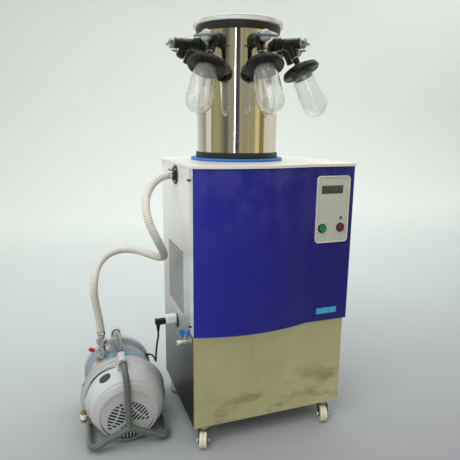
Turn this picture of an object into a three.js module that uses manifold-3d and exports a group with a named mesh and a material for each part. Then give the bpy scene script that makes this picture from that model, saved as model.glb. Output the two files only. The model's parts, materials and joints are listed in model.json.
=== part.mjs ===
// Manifold freeze dryer: a wheeled cabinet with a cold trap inside, a polished steel drum with eight
// valves and three flasks on top, and a vacuum pump on the floor joined to it by a hose and a cord.
// Millimetres. X points right along the front, Y points back and Z points up. The cabinet's front left
// foot point is the working zero; the finished group is shifted so that its footprint is centred.
import * as THREE from 'three';
import { mergeVertices } from 'three/addons/utils/BufferGeometryUtils.js';
import Module from 'manifold-3d';

const wasm = await Module();
wasm.setup();

// ---- driving dimensions ------------------------------------------------------------------------
const GAP = 0.3;                 // clearance between neighbouring pieces
const SHEET = 3;                 // folded sheet thickness
const TUBE_SIDES = 8;
const CORNER_STEPS = 3;
const THROUGH = 6;               // how far a cutter runs past a side sheet

const CABINET_W = 524;
const CABINET_D = 408;
const BODY_BASE = 68;            // underside of the cabinet body above the floor
const BODY_TOP = 888;
const SKIRT_TOP = 380;           // top of the bare steel lower front

const FOLD_X = 374;              // where the bulged front meets its flat right-hand part
const FRONT_LEFT_Y = -3;
const FRONT_FLAT_Y = -9;
const FRONT_BULGE = 30;          // rise of the bulge over its chord
const FRONT_RIGHT_X = 530;
const FRONT_RETURN = 38;         // depth of the left flange that wraps round the corner
const FRONT_HEM = 20;
const BULGE_STEPS = 10;
const LATCH = { y: 24, z: [406, 854], radius: 3.5, end: -10 };   // pins on the left flange

const PAN_LIFT = 2;              // base pan above the body's lower edge
const PAN_RIM = 22;
const PAN_WALL = 2;
const CASTER_PLATE = { halfX: 27, halfY: 24, drop: 4 };
const REAR_SLOTS = { x: [152, 372], z: 150, pitch: 22, rows: 6, half: 4 };

const TOP_PLATE_T = 10;
const TOP_OVERHANG = 5;
const TRAP_MOUTH_R = 110;
const TRAP = { radius: 116, floor: 590, rim: 135, wall: 4 };
const PEG = { x: 490, y: 56, radius: 4, height: 8 };
const CONDENSER = { x: [296, 496], y: [180, 320], height: 250 };
const FAN = { x: 396, lift: 130, radius: 92, rim: 8 };
const DOME = { x: 140, y: 250 };

const PANEL_X = [395, 513];      // control panel
const PANEL_Z = [647, 860];
const PANEL_T = 4;
const PANEL_CORNER = 12;
const BORDER_W = 4;
const BORDER_H = 1.5;
const WINDOW_X = [411, 488];
const WINDOW_Z = [804, 830];
const BUTTON_Z = 695.6;
const BUTTON_X = { start_button: 418, stop_button: 484 };
const BUTTON_R = 11;
const BEZEL_R = 14.5;
const BEZEL_H = 4;
const BUTTON_LENGTH = 7.6;
const BUTTON_TRAVEL = 3;
const LAMP = { x: 484.4, z: 726.7, radius: 3.5, height: 2.5 };

const VENT_Y = [117, 319];       // side vent
const VENT_BASE_Z = 414;
const VENT_PITCH = 10;
const VENT_ROWS = 21;
const VENT_SLOT = 4.6;

const CASTER_X = [38, 475];
const CASTER_Y = [20, 366];
const CASTER_TRAIL = 24;
const WHEEL_R = 25;
const WHEEL_HALF = 11.5;
const WHEEL_BORE = 4.6;
const AXLE_R = 4;
const AXLE_HALF = 20;
const SWIVEL_R = 19;
const CASTER_HEADINGS = [-21, -35, -19, 12];   // front and rear left, then front and rear right

const DRUM_X = 224;
const DRUM_Y = 245;
const DRUM_R = 134;
const DRUM_WALL = 2.5;
const GASKET_R = 156;
const RING_R = 138.4;
const RIM_R = 135.5;
const LID_R = 146;
const Z_GASKET = 898.3;
const Z_RING = 907.3;
const Z_DRUM = 925.3;
const Z_RIM = 1295;
const Z_LID = 1318;
const Z_TOP = 1333;

const DRUM_SIDES = 32;
const PORTS = 8;
const FLASK_PORTS = [0, 1, 7];
const PORT_Z = 1260;
const PORT_HOLE_R = 9;
const COLLAR_R = 21;
const VALVE_R = 16.5;
const VALVE_END = 214;           // distance from the drum's axis to the knob
const KNOB_DOME = 227;           // where the knob's round face starts to taper
const KNOB_END = 232;
const WING_SPAN = 73;
const WING_INNER = 221;
const WING_HALF = 3.5;
const KNOB_R = 17;
const BRANCH_AT = 175;
const BRANCH_TILT = THREE.MathUtils.degToRad(26.5);
const BRANCH_LENGTH = 46.3;
const CAP_STEM_R = 9.5;
const BRANCH_BORE = { radius: 8.5, depth: 22 };
const CAP_R = 59.5;
const FLASK_R = 40.5;
const FLASK_WALL = 3;
const NECK_R = 33.5;
const SHOULDER_R = 38.5;
const FLASK_STEPS = 4;
const FLASK_END = 243;           // along the branch's axis, from the branch's root

const HOSE_R = 13;
const HOSE_PORT = { y: 201, z: 854, hole: 13.5, flange: 30.5, spigot: 15.5, pipe: 12.5, end: -14 };
const SOCKET = { y: 212, z: 352, hole: 14, collar: 23.5, half: 13, lift: 10, end: -40 };
const PLUG = { x: -66, end: -76, half: 9, z: [346.5, 364.5], neck: 5.5, neckEnd: 322 };
const DRAIN = { y: 20, z: 362, hole: 7, pivot: -20, end: -46 };
const DRAIN_WINGS = [{ x: -30, z: 391, long: 15, wide: 8, lean: -17 }, { x: -11, z: 388.5, long: 12, wide: 6, lean: 14 }];

const PUMP_PLACE = { x: -191.5, y: 74, yaw: -2 };
const PUMP_FLOOR = 10;           // underside of the pump's housing
const COVER_FACE = 24;           // front cover, measured back from the bumper's corners
const COVER_SEAM = 162;
const BODY_U = -11;              // the body's middle, beside the frame's
const REAR_SEAM = 271;
const TUBE_R = 10.5;
const HOUSING_SIDES = 28;
const SKID_HALF = 122;
const SKID_Z = 22;
const STRUT_V = [120, 215];
const FOOT_U = [-94, 78];
const FOOT_V = [180, 250];
const FRONT_BOSS = { outline: [[-26, 225], [10, 225], [6, 262], [0, 272], [-16, 272], [-22, 262]], v: [70, 128] };
const REAR_BOSS = { outline: [[-31, 240], [7, 240], [5, 272], [-1, 284], [-23, 284], [-29, 272]], v: [284, 312] };
const INLET = { u: -66.7, v: 184, arm: 258, spindle: 23, top: 306 };
const EXHAUST = { u: -137, v: 100, z: 74, pipe: 7, radius: 11, ends: [55, 90] };
const BALLAST = { v: 126, z: 165, radius: 9, base: -123, end: -134 };   // gas ballast knob
const CORD_GLAND = { v: 260.7, z: 180, radius: 6, end: 97 };
const CORD_R = 3.3;
const GRILLE = { z: 78, fans: [150, 30, 270], offsets: [-36, -18, 0, 18, 36], radius: 58, hub: 14,
  slope: 0.62, half: 3.2, depth: 5 };

// ---- materials ---------------------------------------------------------------------------------
const finish = (color, roughness, metalness, extra = {}) =>
  new THREE.MeshStandardMaterial({ color, roughness, metalness, ...extra });
const steel = () => finish(0x9a9478, 0.35, 0.9);
const sidePaint = () => finish(0xd2d2cb, 0.4, 0.2);
const creamPaint = () => finish(0xebe8e1, 0.5, 0);
const bluePaint = () => finish(0x262982, 0.3, 0.1);
const panelPlastic = () => finish(0xa8a898, 0.5, 0);
const blackRubber = () => finish(0x22241f, 0.7, 0);
const mirrorSteel = () => finish(0xc9c4b4, 0.08, 1);
const gasketBlue = () => finish(0x3278c8, 0.5, 0);
const greyPlastic = () => finish(0xb4b8bc, 0.45, 0);
const clear = () => finish(0xeef2f2, 0.05, 0, { transparent: true, opacity: 0.3 });
const zinc = () => finish(0xb8b8b4, 0.35, 0.9);
const forkBlack = () => finish(0x2a2a2a, 0.5, 0.3);
const wheelCream = () => finish(0xd9d4c0, 0.6, 0);
const coverPaint = () => finish(0xc6c8c2, 0.45, 0);
const bodyGrey = () => finish(0x788796, 0.5, 0.1);
const framePaint = () => finish(0x5f695f, 0.4, 0.2);
const hosePlastic = () => finish(0xd7d2be, 0.5, 0);
const tint = (color) => finish(color, 0.4, 0);

// ---- geometry helpers --------------------------------------------------------------------------

/** Welds a geometry's points, drops flat triangles and turns its faces outward. */
function weld(geometry) {
  const bare = geometry.clone();
  bare.deleteAttribute('normal');
  bare.deleteAttribute('uv');
  const merged = mergeVertices(bare, 1e-3);
  const points = merged.attributes.position.array;
  const kept = [];
  let volume = 0;
  const corner = (i) => new THREE.Vector3(points[3 * i], points[3 * i + 1], points[3 * i + 2]);
  for (let i = 0; i < merged.index.count; i += 3) {
    const [a, b, c] = [0, 1, 2].map((k) => merged.index.getX(i + k));
    if (a === b || b === c || c === a) continue;
    kept.push(a, b, c);
    volume += corner(a).dot(corner(b).cross(corner(c)));
  }
  if (volume < 0) {
    for (let i = 0; i < kept.length; i += 3) [kept[i], kept[i + 1]] = [kept[i + 1], kept[i]];
  }
  const result = new THREE.BufferGeometry();
  result.setAttribute('position', new THREE.Float32BufferAttribute(points, 3));
  result.setIndex(kept);
  return result;
}

function toSolid(geometry) {
  const welded = weld(geometry);
  return new wasm.Manifold(new wasm.Mesh({
    numProp: 3,
    vertProperties: new Float32Array(welded.attributes.position.array),
    triVerts: new Uint32Array(welded.index.array),
  }));
}

function toGeometry(solid) {
  const mesh = solid.getMesh();
  const result = new THREE.BufferGeometry();
  result.setAttribute('position', new THREE.Float32BufferAttribute(mesh.vertProperties, 3));
  result.setIndex(Array.from(mesh.triVerts));
  return result;
}

/** Joins geometries into one body. */
function join(...parts) {
  return toGeometry(parts.map(toSolid).reduce((whole, part) => whole.add(part)));
}

/** Cuts the later geometries out of the first one. */
function cut(base, ...tools) {
  return toGeometry(tools.map(toSolid).reduce((whole, tool) => whole.subtract(tool), toSolid(base)));
}

function box([x0, x1], [y0, y1], [z0, z1]) {
  return new THREE.BoxGeometry(x1 - x0, y1 - y0, z1 - z0)
    .translate((x0 + x1) / 2, (y0 + y1) / 2, (z0 + z1) / 2);
}

/** Turns a profile of [radius, height] points about the Z axis. */
function turned(profile, sides = 16) {
  const points = profile.map(([r, z]) => new THREE.Vector2(r, z));
  return new THREE.LatheGeometry(points, sides).rotateX(Math.PI / 2);
}

function disc(radius, [z0, z1], sides = 16) {
  return new THREE.CylinderGeometry(radius, radius, z1 - z0, sides)
    .rotateX(Math.PI / 2).translate(0, 0, (z0 + z1) / 2);
}

/** A flat ring between two radii. */
function ring(outer, inner, [z0, z1]) {
  return turned([[inner, z0], [outer, z0], [outer, z1], [inner, z1], [inner, z0]], DRUM_SIDES);
}

/** A round bar from one point to another. */
function bar(from, to, radius, sides = 12, endRadius = radius) {
  const a = new THREE.Vector3(...from);
  const b = new THREE.Vector3(...to);
  const along = b.clone().sub(a);
  const turn = new THREE.Quaternion()
    .setFromUnitVectors(new THREE.Vector3(0, 1, 0), along.clone().normalize());
  return new THREE.CylinderGeometry(endRadius, radius, along.length(), sides)
    .applyQuaternion(turn).translate(...a.add(b).multiplyScalar(0.5).toArray());
}

/** A round tube's solid along a smooth line through the points. */
function sweep(points, radius, steps, tension = 0.5) {
  const path = new THREE.CatmullRomCurve3(
    points.map((p) => new THREE.Vector3(...p)), false, 'catmullrom', tension);
  const section = new THREE.Shape();
  for (let i = 0; i < TUBE_SIDES; i += 1) {
    const angle = (2 * Math.PI * i) / TUBE_SIDES;
    const point = [radius * Math.cos(angle), radius * Math.sin(angle)];
    if (i === 0) section.moveTo(...point);
    else section.lineTo(...point);
  }
  section.closePath();
  return new THREE.ExtrudeGeometry(section, { steps, extrudePath: path });
}

/** A plan outline raised between two heights. */
function raised(points, [z0, z1]) {
  const shape = new THREE.Shape(points.map(([x, y]) => new THREE.Vector2(x, y)));
  return new THREE.ExtrudeGeometry(shape, { depth: z1 - z0, bevelEnabled: false }).translate(0, 0, z0);
}

/** A rounded rectangle's corner points, counter-clockwise. */
function roundedOutline([x0, x1], [y0, y1], radius) {
  const corners = [[x1 - radius, y0 + radius, -90], [x1 - radius, y1 - radius, 0],
    [x0 + radius, y1 - radius, 90], [x0 + radius, y0 + radius, 180]];
  return corners.flatMap(([cx, cy, start]) => Array.from({ length: CORNER_STEPS + 1 }, (_, i) => {
    const angle = THREE.MathUtils.degToRad(start + (90 * i) / CORNER_STEPS);
    return [cx + radius * Math.cos(angle), cy + radius * Math.sin(angle)];
  }));
}

/** A plate standing in the XZ plane: the outline is [x, z], and the plate fills from y0 to y1. */
function upright(outline, [y0, y1]) {
  return raised(outline, [0, y1 - y0]).rotateX(Math.PI / 2).translate(0, y1, 0);
}

function place(geometry, x, y, z) {
  return geometry.translate(x, y, z);
}

const model = new THREE.Group();

function piece(name, geometry, material, parent = model) {
  const shape = weld(geometry);
  shape.computeVertexNormals();
  const mesh = new THREE.Mesh(shape, material);
  mesh.name = name;
  parent.add(mesh);
  return mesh;
}

function group() {
  const made = new THREE.Group();
  model.add(made);
  return made;
}

// ---- cabinet -----------------------------------------------------------------------------------

/** Points of the bulged front in plan, from the left edge to the fold, moved forward by a distance. */
function bulge(forward, fromX = 0) {
  return Array.from({ length: BULGE_STEPS + 1 }, (_, i) => {
    const x = fromX + ((FOLD_X - fromX) * i) / BULGE_STEPS;
    const along = (2 * x) / FOLD_X - 1;
    const chord = FRONT_LEFT_Y + ((FRONT_FLAT_Y - FRONT_LEFT_Y) * x) / FOLD_X;
    return [x, chord - FRONT_BULGE * (1 - along * along) - forward];
  });
}

function makeBasePan() {
  const inner = SHEET + GAP;
  const wall = inner + PAN_WALL;
  const floor = BODY_BASE + PAN_LIFT;
  const rim = box([inner, CABINET_W - inner], [inner, CABINET_D - inner], [floor, floor + PAN_RIM]);
  const hollow = box([wall, CABINET_W - wall], [wall, CABINET_D - wall],
    [floor + SHEET, floor + PAN_RIM + 1]);
  const { halfX, halfY, drop } = CASTER_PLATE;
  const plates = CASTER_X.flatMap((x) => CASTER_Y.map((y) =>
    box([x - halfX, x + halfX], [Math.max(y - halfY, inner), Math.min(y + halfY, CABINET_D - inner)],
      [floor - drop, floor + 1])));
  piece('base_pan', join(cut(rim, hollow), ...plates), zinc());
}

function ventSlots() {
  return Array.from({ length: VENT_ROWS }, (_, row) => {
    const z = VENT_BASE_Z + row * VENT_PITCH;
    return box([-THROUGH, THROUGH], VENT_Y, [z - VENT_SLOT / 2, z + VENT_SLOT / 2]);
  });
}

/** A round cutter through the left side. */
function sideHole(y, z, radius, sides) {
  return bar([-THROUGH, y, z], [THROUGH, y, z], radius, sides);
}

/** A full-height side sheet between two distances across. */
function sideSheet(x0, x1) {
  return box([x0, x1], [SHEET + GAP, CABINET_D], [BODY_BASE, BODY_TOP]);
}

function makeLeftSide() {
  const holes = [HOSE_PORT, SOCKET, DRAIN].map(({ y, z, hole }) => sideHole(y, z, hole, 14));
  const flangeNotch = box([-1, SHEET + 1], [0, FRONT_RETURN + GAP], [SKIRT_TOP - GAP, BODY_TOP + 1]);
  const left = cut(sideSheet(0, SHEET), flangeNotch, ...ventSlots(), ...holes);
  piece('left_side_panel', left, sidePaint());
}

/** The right side and the back are one folded sheet. */
function makeWrap() {
  const right = sideSheet(CABINET_W - SHEET, CABINET_W);
  const back = box([SHEET + GAP, CABINET_W - 1], [CABINET_D - SHEET, CABINET_D], [BODY_BASE, BODY_TOP]);
  const slots = Array.from({ length: REAR_SLOTS.rows }, (_, row) => {
    const z = REAR_SLOTS.z + row * REAR_SLOTS.pitch;
    return box(REAR_SLOTS.x, [CABINET_D - SHEET - 1, CABINET_D + 1],
      [z - REAR_SLOTS.half, z + REAR_SLOTS.half]);
  });
  piece('wrap_panel', cut(join(right, back), ...slots), sidePaint());
}

function makeFront() {
  const skirt = box([0, CABINET_W], [0, SHEET], [BODY_BASE, SKIRT_TOP - GAP]);
  piece('lower_front_panel', skirt, steel());

  const outside = bulge(0);
  const inside = bulge(-SHEET, SHEET).reverse();
  const skin = raised([
    [0, FRONT_RETURN], ...outside, [FRONT_RIGHT_X, FRONT_FLAT_Y],
    [FRONT_RIGHT_X, FRONT_FLAT_Y + FRONT_HEM], [FRONT_RIGHT_X - SHEET, FRONT_FLAT_Y + FRONT_HEM],
    [FRONT_RIGHT_X - SHEET, FRONT_FLAT_Y + SHEET], ...inside, [SHEET, FRONT_RETURN],
  ], [SKIRT_TOP, BODY_TOP]);
  const lip = raised([[1, 20], ...bulge(-1, 1), [FRONT_RIGHT_X - 1, FRONT_FLAT_Y + 1],
    [FRONT_RIGHT_X - 1, -1], [CABINET_W - SHEET - 1, -1], [CABINET_W - SHEET - 1, 20]],
  [SKIRT_TOP, SKIRT_TOP + SHEET]);
  const latches = LATCH.z.map((z) => bar([LATCH.end, LATCH.y, z], [1, LATCH.y, z], LATCH.radius, 10));
  piece('blue_front_panel', join(skin, lip, ...latches), bluePaint());
}

function makeTopPlate() {
  const left = -TOP_OVERHANG;
  const right = FRONT_RIGHT_X + 2;
  const back = CABINET_D + TOP_OVERHANG;
  const bottom = BODY_TOP + GAP;
  const top = BODY_TOP + TOP_PLATE_T;
  const front = bulge(TOP_OVERHANG);
  const slab = raised([[left, back], [left, FRONT_LEFT_Y - TOP_OVERHANG], ...front,
    [right, FRONT_FLAT_Y - TOP_OVERHANG], [right, back]], [bottom, top]);
  const hollow = box([left + 4, right - 4], [2, back - 4], [bottom - 1, top - SHEET]);
  const mouth = place(disc(TRAP_MOUTH_R, [bottom - 1, top + 1], DRUM_SIDES), DRUM_X, DRUM_Y, 0);
  const peg = place(disc(PEG.radius, [top - 1, top + PEG.height], 8), PEG.x, PEG.y, 0);
  piece('top_plate', join(cut(slab, hollow, mouth), peg), creamPaint());
}

function makeControlPanel() {
  const face = FRONT_FLAT_Y - GAP;
  const front = face - PANEL_T;
  const outline = roundedOutline(PANEL_X, PANEL_Z, PANEL_CORNER);
  const inset = roundedOutline(PANEL_X.map((x, i) => x + BORDER_W * (i ? -1 : 1)),
    PANEL_Z.map((z, i) => z + BORDER_W * (i ? -1 : 1)), PANEL_CORNER - BORDER_W);
  const body = upright(outline, [front - BORDER_H, face]);
  const field = upright(inset, [front - BORDER_H - 1, front]);
  const window = box(WINDOW_X, [front - 1, front + 1.2], WINDOW_Z);
  const bezels = Object.values(BUTTON_X).map((x) =>
    bar([x, front - BEZEL_H, BUTTON_Z], [x, front + 1, BUTTON_Z], BEZEL_R, 16));
  const bores = Object.values(BUTTON_X).map((x) =>
    bar([x, front - BEZEL_H - 2, BUTTON_Z], [x, face + 1, BUTTON_Z], BUTTON_R + GAP, 16));
  const lamp = bar([LAMP.x, front - LAMP.height, LAMP.z], [LAMP.x, front + 1, LAMP.z], LAMP.radius, 8);
  const plate = join(cut(body, field, window), ...bezels, lamp);
  piece('control_panel', cut(plate, ...bores), panelPlastic());

  const buttonFront = front - BEZEL_H - BUTTON_TRAVEL;
  const colours = { start_button: 0x0c8a4a, stop_button: 0x7a1420 };
  for (const [name, x] of Object.entries(BUTTON_X)) {
    const button = turned([[0, 0], [BUTTON_R - 2, 0], [BUTTON_R, 1.6], [BUTTON_R, BUTTON_LENGTH],
      [0, BUTTON_LENGTH]]).rotateX(-Math.PI / 2);
    piece(name, place(button, x, buttonFront, BUTTON_Z), tint(colours[name]));
  }
}

// ---- casters -----------------------------------------------------------------------------------

function makeCaster(index, x, y, heading) {
  const swivel = group();
  swivel.position.set(x, y, 0);
  swivel.rotation.z = THREE.MathUtils.degToRad(heading);
  const top = BODY_BASE - 2 - GAP;
  const head = turned([[0, 56], [SWIVEL_R, 56], [SWIVEL_R, top], [0, top]], 14);
  const crown = box([-17, 17], [-16, 14], [54, 58]);
  const legShape = new THREE.Shape([[-17, 57], [14, 57], [10, 48], [-16, 20], [-24, 16], [-32, 22],
    [-31, 33]].map(([a, b]) => new THREE.Vector2(a, b)));
  const leg = new THREE.ExtrudeGeometry(legShape, { depth: 3, bevelEnabled: false })
    .rotateX(Math.PI / 2).rotateZ(Math.PI / 2);
  const legs = [14, -17].map((side) => leg.clone().translate(side, 0, 0));
  const axle = bar([-AXLE_HALF, -CASTER_TRAIL, WHEEL_R], [AXLE_HALF, -CASTER_TRAIL, WHEEL_R], AXLE_R, 8);
  piece(`caster_fork_${index}`, join(head, crown, ...legs, axle), forkBlack(), swivel);

  const profile = [[WHEEL_BORE, -WHEEL_HALF], [WHEEL_R - 1, -WHEEL_HALF], [WHEEL_R, -3],
    [WHEEL_R - 3, 0], [WHEEL_R, 3], [WHEEL_R - 1, WHEEL_HALF], [WHEEL_BORE, WHEEL_HALF],
    [WHEEL_BORE, -WHEEL_HALF]];
  const wheel = turned(profile, 16).rotateY(Math.PI / 2).translate(0, -CASTER_TRAIL, WHEEL_R);
  piece(`caster_wheel_${index}`, wheel, wheelCream(), swivel);
}

function makeCasters() {
  CASTER_Y.forEach((y, row) => CASTER_X.forEach((x, column) => {
    makeCaster(1 + 2 * row + column, x, y, CASTER_HEADINGS[row + 2 * column]);
  }));
}

// ---- refrigeration inside the cabinet ------------------------------------------------------------

function makeRefrigeration() {
  const floor = BODY_BASE + 2 + SHEET + GAP;
  const dome = place(turned([[0, 20], [70, 20], [88, 40], [92, 120], [84, 165], [55, 195], [0, 203]], 18),
    DOME.x, DOME.y, floor);
  const plate = box([30, 250], [140, 360], [floor, floor + 6]);
  const feet = [[60, 170], [220, 170], [60, 330], [220, 330]].map(([x, y]) =>
    place(disc(12, [floor + 5, floor + 30], 8), x, y, 0));
  const bracket = box([50, 230], [160, 340], [floor + 26, floor + 30]);
  const bridge = box([240, CONDENSER.x[0] + 4], CONDENSER.y, [floor, floor + 6]);
  const coil = box(CONDENSER.x, CONDENSER.y, [floor, floor + CONDENSER.height]);
  const front = CONDENSER.y[0];
  const fan = (from, to, radius) =>
    bar([FAN.x, from, floor + FAN.lift], [FAN.x, to, floor + FAN.lift], radius, 20);
  const shroud = fan(front + 1, front - 20, FAN.radius);
  const throat = fan(front + 10, front - 30, FAN.radius - FAN.rim);
  piece('compressor', join(dome, plate, ...feet, bracket, bridge,
    cut(join(coil, shroud), throat)), finish(0x202224, 0.5, 0.3));

  const rim = BODY_TOP + TOP_PLATE_T - SHEET - 2 * GAP;
  const { radius, floor: base, wall } = TRAP;
  const bucket = turned([[0, base], [radius - 16, base], [radius, base + 16], [radius, rim - 3],
    [TRAP.rim, rim - 3], [TRAP.rim, rim], [radius - wall, rim], [radius - wall, base + 18],
    [radius - 18, base + wall], [0, base + wall]], 28);
  piece('cold_trap', place(bucket, DRUM_X, DRUM_Y, 0), zinc());
}

// ---- drum --------------------------------------------------------------------------------------

function makeDrum() {
  const axis = group();
  axis.position.set(DRUM_X, DRUM_Y, 0);
  piece('base_gasket', turned([[TRAP_MOUTH_R, Z_GASKET], [GASKET_R - 2, Z_GASKET],
    [GASKET_R, Z_GASKET + 4], [GASKET_R - 3, Z_RING - GAP], [TRAP_MOUTH_R, Z_RING - GAP],
    [TRAP_MOUTH_R, Z_GASKET]], DRUM_SIDES), gasketBlue(), axis);
  piece('base_ring', ring(RING_R, 118, [Z_RING, Z_DRUM - GAP]), blackRubber(), axis);

  const shell = ring(DRUM_R, DRUM_R - DRUM_WALL, [Z_DRUM, Z_RIM - GAP]);
  const holes = Array.from({ length: PORTS }, (_, i) => {
    const angle = portAngle(i);
    const point = (r) => [r * Math.cos(angle), r * Math.sin(angle), PORT_Z];
    return bar(point(DRUM_R - 12), point(DRUM_R + 12), PORT_HOLE_R, 8);
  });
  piece('drum', cut(shell, ...holes), mirrorSteel(), axis);
  piece('top_ring', turned([[118, Z_RIM], [RIM_R, Z_RIM], [RIM_R + 2, Z_RIM + 12],
    [RIM_R + 2, Z_LID - GAP], [118, Z_LID - GAP], [118, Z_RIM]], DRUM_SIDES), blackRubber(), axis);
  piece('lid', turned([[0, Z_LID - 5], [116, Z_LID - 5], [116, Z_LID], [LID_R, Z_LID],
    [LID_R, Z_TOP - 3], [LID_R - 3, Z_TOP], [0, Z_TOP]], DRUM_SIDES), clear(), axis);
}

// ---- valves and flasks ---------------------------------------------------------------------------

/** Ports run clockwise from the front, seen from above. */
function portAngle(index) {
  return THREE.MathUtils.degToRad(270 - (360 / PORTS) * index);
}

/** A point on the branch's axis: the local frame has x outward from the drum's axis. */
function onBranch(distance) {
  return [BRANCH_AT + distance * Math.sin(BRANCH_TILT), 0, PORT_Z - distance * Math.cos(BRANCH_TILT)];
}

/** Turns a profile about the branch's axis, with heights measured down along the branch. */
function turnedOnBranch(profile, sides) {
  return turned(profile, sides).rotateX(Math.PI).rotateY(-BRANCH_TILT).translate(...onBranch(0));
}

function makeValve(index, hasFlask, parent) {
  const z = PORT_Z;
  const collar = bar([DRUM_R - 10, 0, z], [150, 0, z], COLLAR_R, 14);
  const barrel = bar([149, 0, z], [VALVE_END, 0, z], VALVE_R);
  const branch = bar(onBranch(0), onBranch(BRANCH_LENGTH), 15, 12, 13);
  const drumWall = disc(DRUM_R + GAP, [z - 40, z + 40], 64);
  const bore = bar(onBranch(BRANCH_LENGTH - BRANCH_BORE.depth), onBranch(BRANCH_LENGTH + 4),
    BRANCH_BORE.radius, 8);
  const whole = cut(join(collar, barrel, branch), drumWall, ...(hasFlask ? [] : [bore]));
  piece(`port_valve_${index}`, whole, blackRubber(), parent);

  const boss = bar([VALVE_END + GAP, 0, z], [KNOB_DOME, 0, z], KNOB_R, 14);
  const dome = bar([KNOB_DOME, 0, z], [KNOB_END - 1, 0, z], KNOB_R, 14, KNOB_R - 6);
  const wing = box([WING_INNER, KNOB_END], [-WING_SPAN / 2, WING_SPAN / 2], [z - WING_HALF, z + WING_HALF]);
  piece(`valve_knob_${index}`, join(boss, dome, wing), greyPlastic(), parent);
}

function makeFlask(index, parent) {
  const stem = BRANCH_LENGTH + GAP;
  const cap = turnedOnBranch([[0, stem], [CAP_STEM_R, stem], [CAP_STEM_R, 71], [20, 71], [48, 80],
    [CAP_R - 4, 85], [CAP_R - 4, 90], [CAP_R, 92], [CAP_R, 98], [CAP_R - 4, 102], [34, 102], [34, 94],
    [0, 94]], 20);
  piece(`flask_cap_${index}`, cap, blackRubber(), parent);

  const wall = FLASK_WALL;
  const centre = FLASK_END - FLASK_R;
  const outside = [];
  const inside = [];
  for (let step = 0; step <= FLASK_STEPS; step += 1) {
    const angle = (Math.PI / 2) * (1 - step / FLASK_STEPS);
    outside.push([FLASK_R * Math.cos(angle), centre + FLASK_R * Math.sin(angle)]);
    inside.push([(FLASK_R - wall) * Math.cos(angle), centre + (FLASK_R - wall) * Math.sin(angle)]);
  }
  const shoulder = [[SHOULDER_R, 150], [NECK_R, 106], [NECK_R, 95]];
  const throat = [[NECK_R - wall, 95], [NECK_R - wall, 106], [SHOULDER_R - wall, 150]];
  const glass = turnedOnBranch([...outside, ...shoulder, ...throat, ...inside.reverse()], 16);
  piece(`flask_${index}`, glass, clear(), parent);
}

function makeManifold() {
  for (let index = 0; index < PORTS; index += 1) {
    const port = group();
    port.position.set(DRUM_X, DRUM_Y, 0);
    port.rotation.z = portAngle(index);
    const hasFlask = FLASK_PORTS.includes(index);
    makeValve(index, hasFlask, port);
    if (hasFlask) makeFlask(index, port);
  }
}

// ---- fittings on the left side -------------------------------------------------------------------

function makeSideFittings() {
  const { y, z, end } = HOSE_PORT;
  const flange = bar([-5 - GAP, y, z], [-GAP, y, z], HOSE_PORT.flange, 20);
  const spigot = bar([end + GAP, y, z], [-4, y, z], HOSE_PORT.spigot, 14);
  const pipe = bar([-4, y, z], [130, y, z], HOSE_PORT.pipe, 14);
  const trapWall = place(disc(TRAP.radius + GAP, [z - 40, z + 30], 48), DRUM_X, DRUM_Y, 0);
  piece('vacuum_port', cut(join(flange, spigot, pipe), trapWall), zinc());

  const s = SOCKET;
  const collar = bar([-4.3, s.y, s.z], [-GAP, s.y, s.z], s.collar, 20);
  const shell = box([s.end, -3], [s.y - s.half, s.y + s.half],
    [s.z + s.lift - s.half, s.z + s.lift + s.half]);
  const rear = bar([-3, s.y, s.z], [26, s.y, s.z], s.half, 14);
  piece('power_socket', join(collar, shell, rear), finish(0xe6e8ea, 0.4, 0));
  const head = box([PLUG.end, s.end - GAP], [s.y - PLUG.half, s.y + PLUG.half], PLUG.z);
  const neck = bar([PLUG.x, s.y, PLUG.neckEnd], [PLUG.x, s.y, PLUG.z[0] + 1], PLUG.neck, 10, 8);
  piece('power_plug', join(head, neck), blackRubber());

  const d = DRAIN;
  const washer = bar([-4, d.y, d.z], [-GAP, d.y, d.z], 10, 12);
  const pipeOut = bar([d.end, d.y, d.z], [20, d.y, d.z], 5.5, 8);
  const nut = bar([-13, d.y, d.z], [-5, d.y, d.z], 8.5, 6);
  const bulb = bar([-29, d.y, d.z], [-12, d.y, d.z], 8, 10);
  const mouth = bar([d.end, d.y, d.z], [-33, d.y, d.z], 7, 10, 6);
  const stem = bar([d.pivot, d.y, d.z], [d.pivot, d.y, d.z + 14], 4, 8);
  piece('drain_valve', join(washer, pipeOut, nut, bulb, mouth, stem), zinc());
  const wings = DRAIN_WINGS.map(({ x, z, long, wide, lean }) =>
    turned([[0, -2.5], [0.85, -2.5], [1, 0], [0.85, 2.5], [0, 2.5]], 14).rotateX(Math.PI / 2)
      .scale(wide, 1, long).rotateY(THREE.MathUtils.degToRad(lean)).translate(x, d.y, z));
  const shank = bar([d.pivot, d.y, d.z + 14 + GAP], [d.pivot, d.y, d.z + 25], 5, 8);
  const link = box([-28, -12], [d.y - 2.4, d.y + 2.4], [d.z + 17, d.z + 25]);
  piece('drain_lever', join(shank, link, ...wings), tint(0x1e5fc0));
}

// ---- pump ----------------------------------------------------------------------------------------

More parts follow.
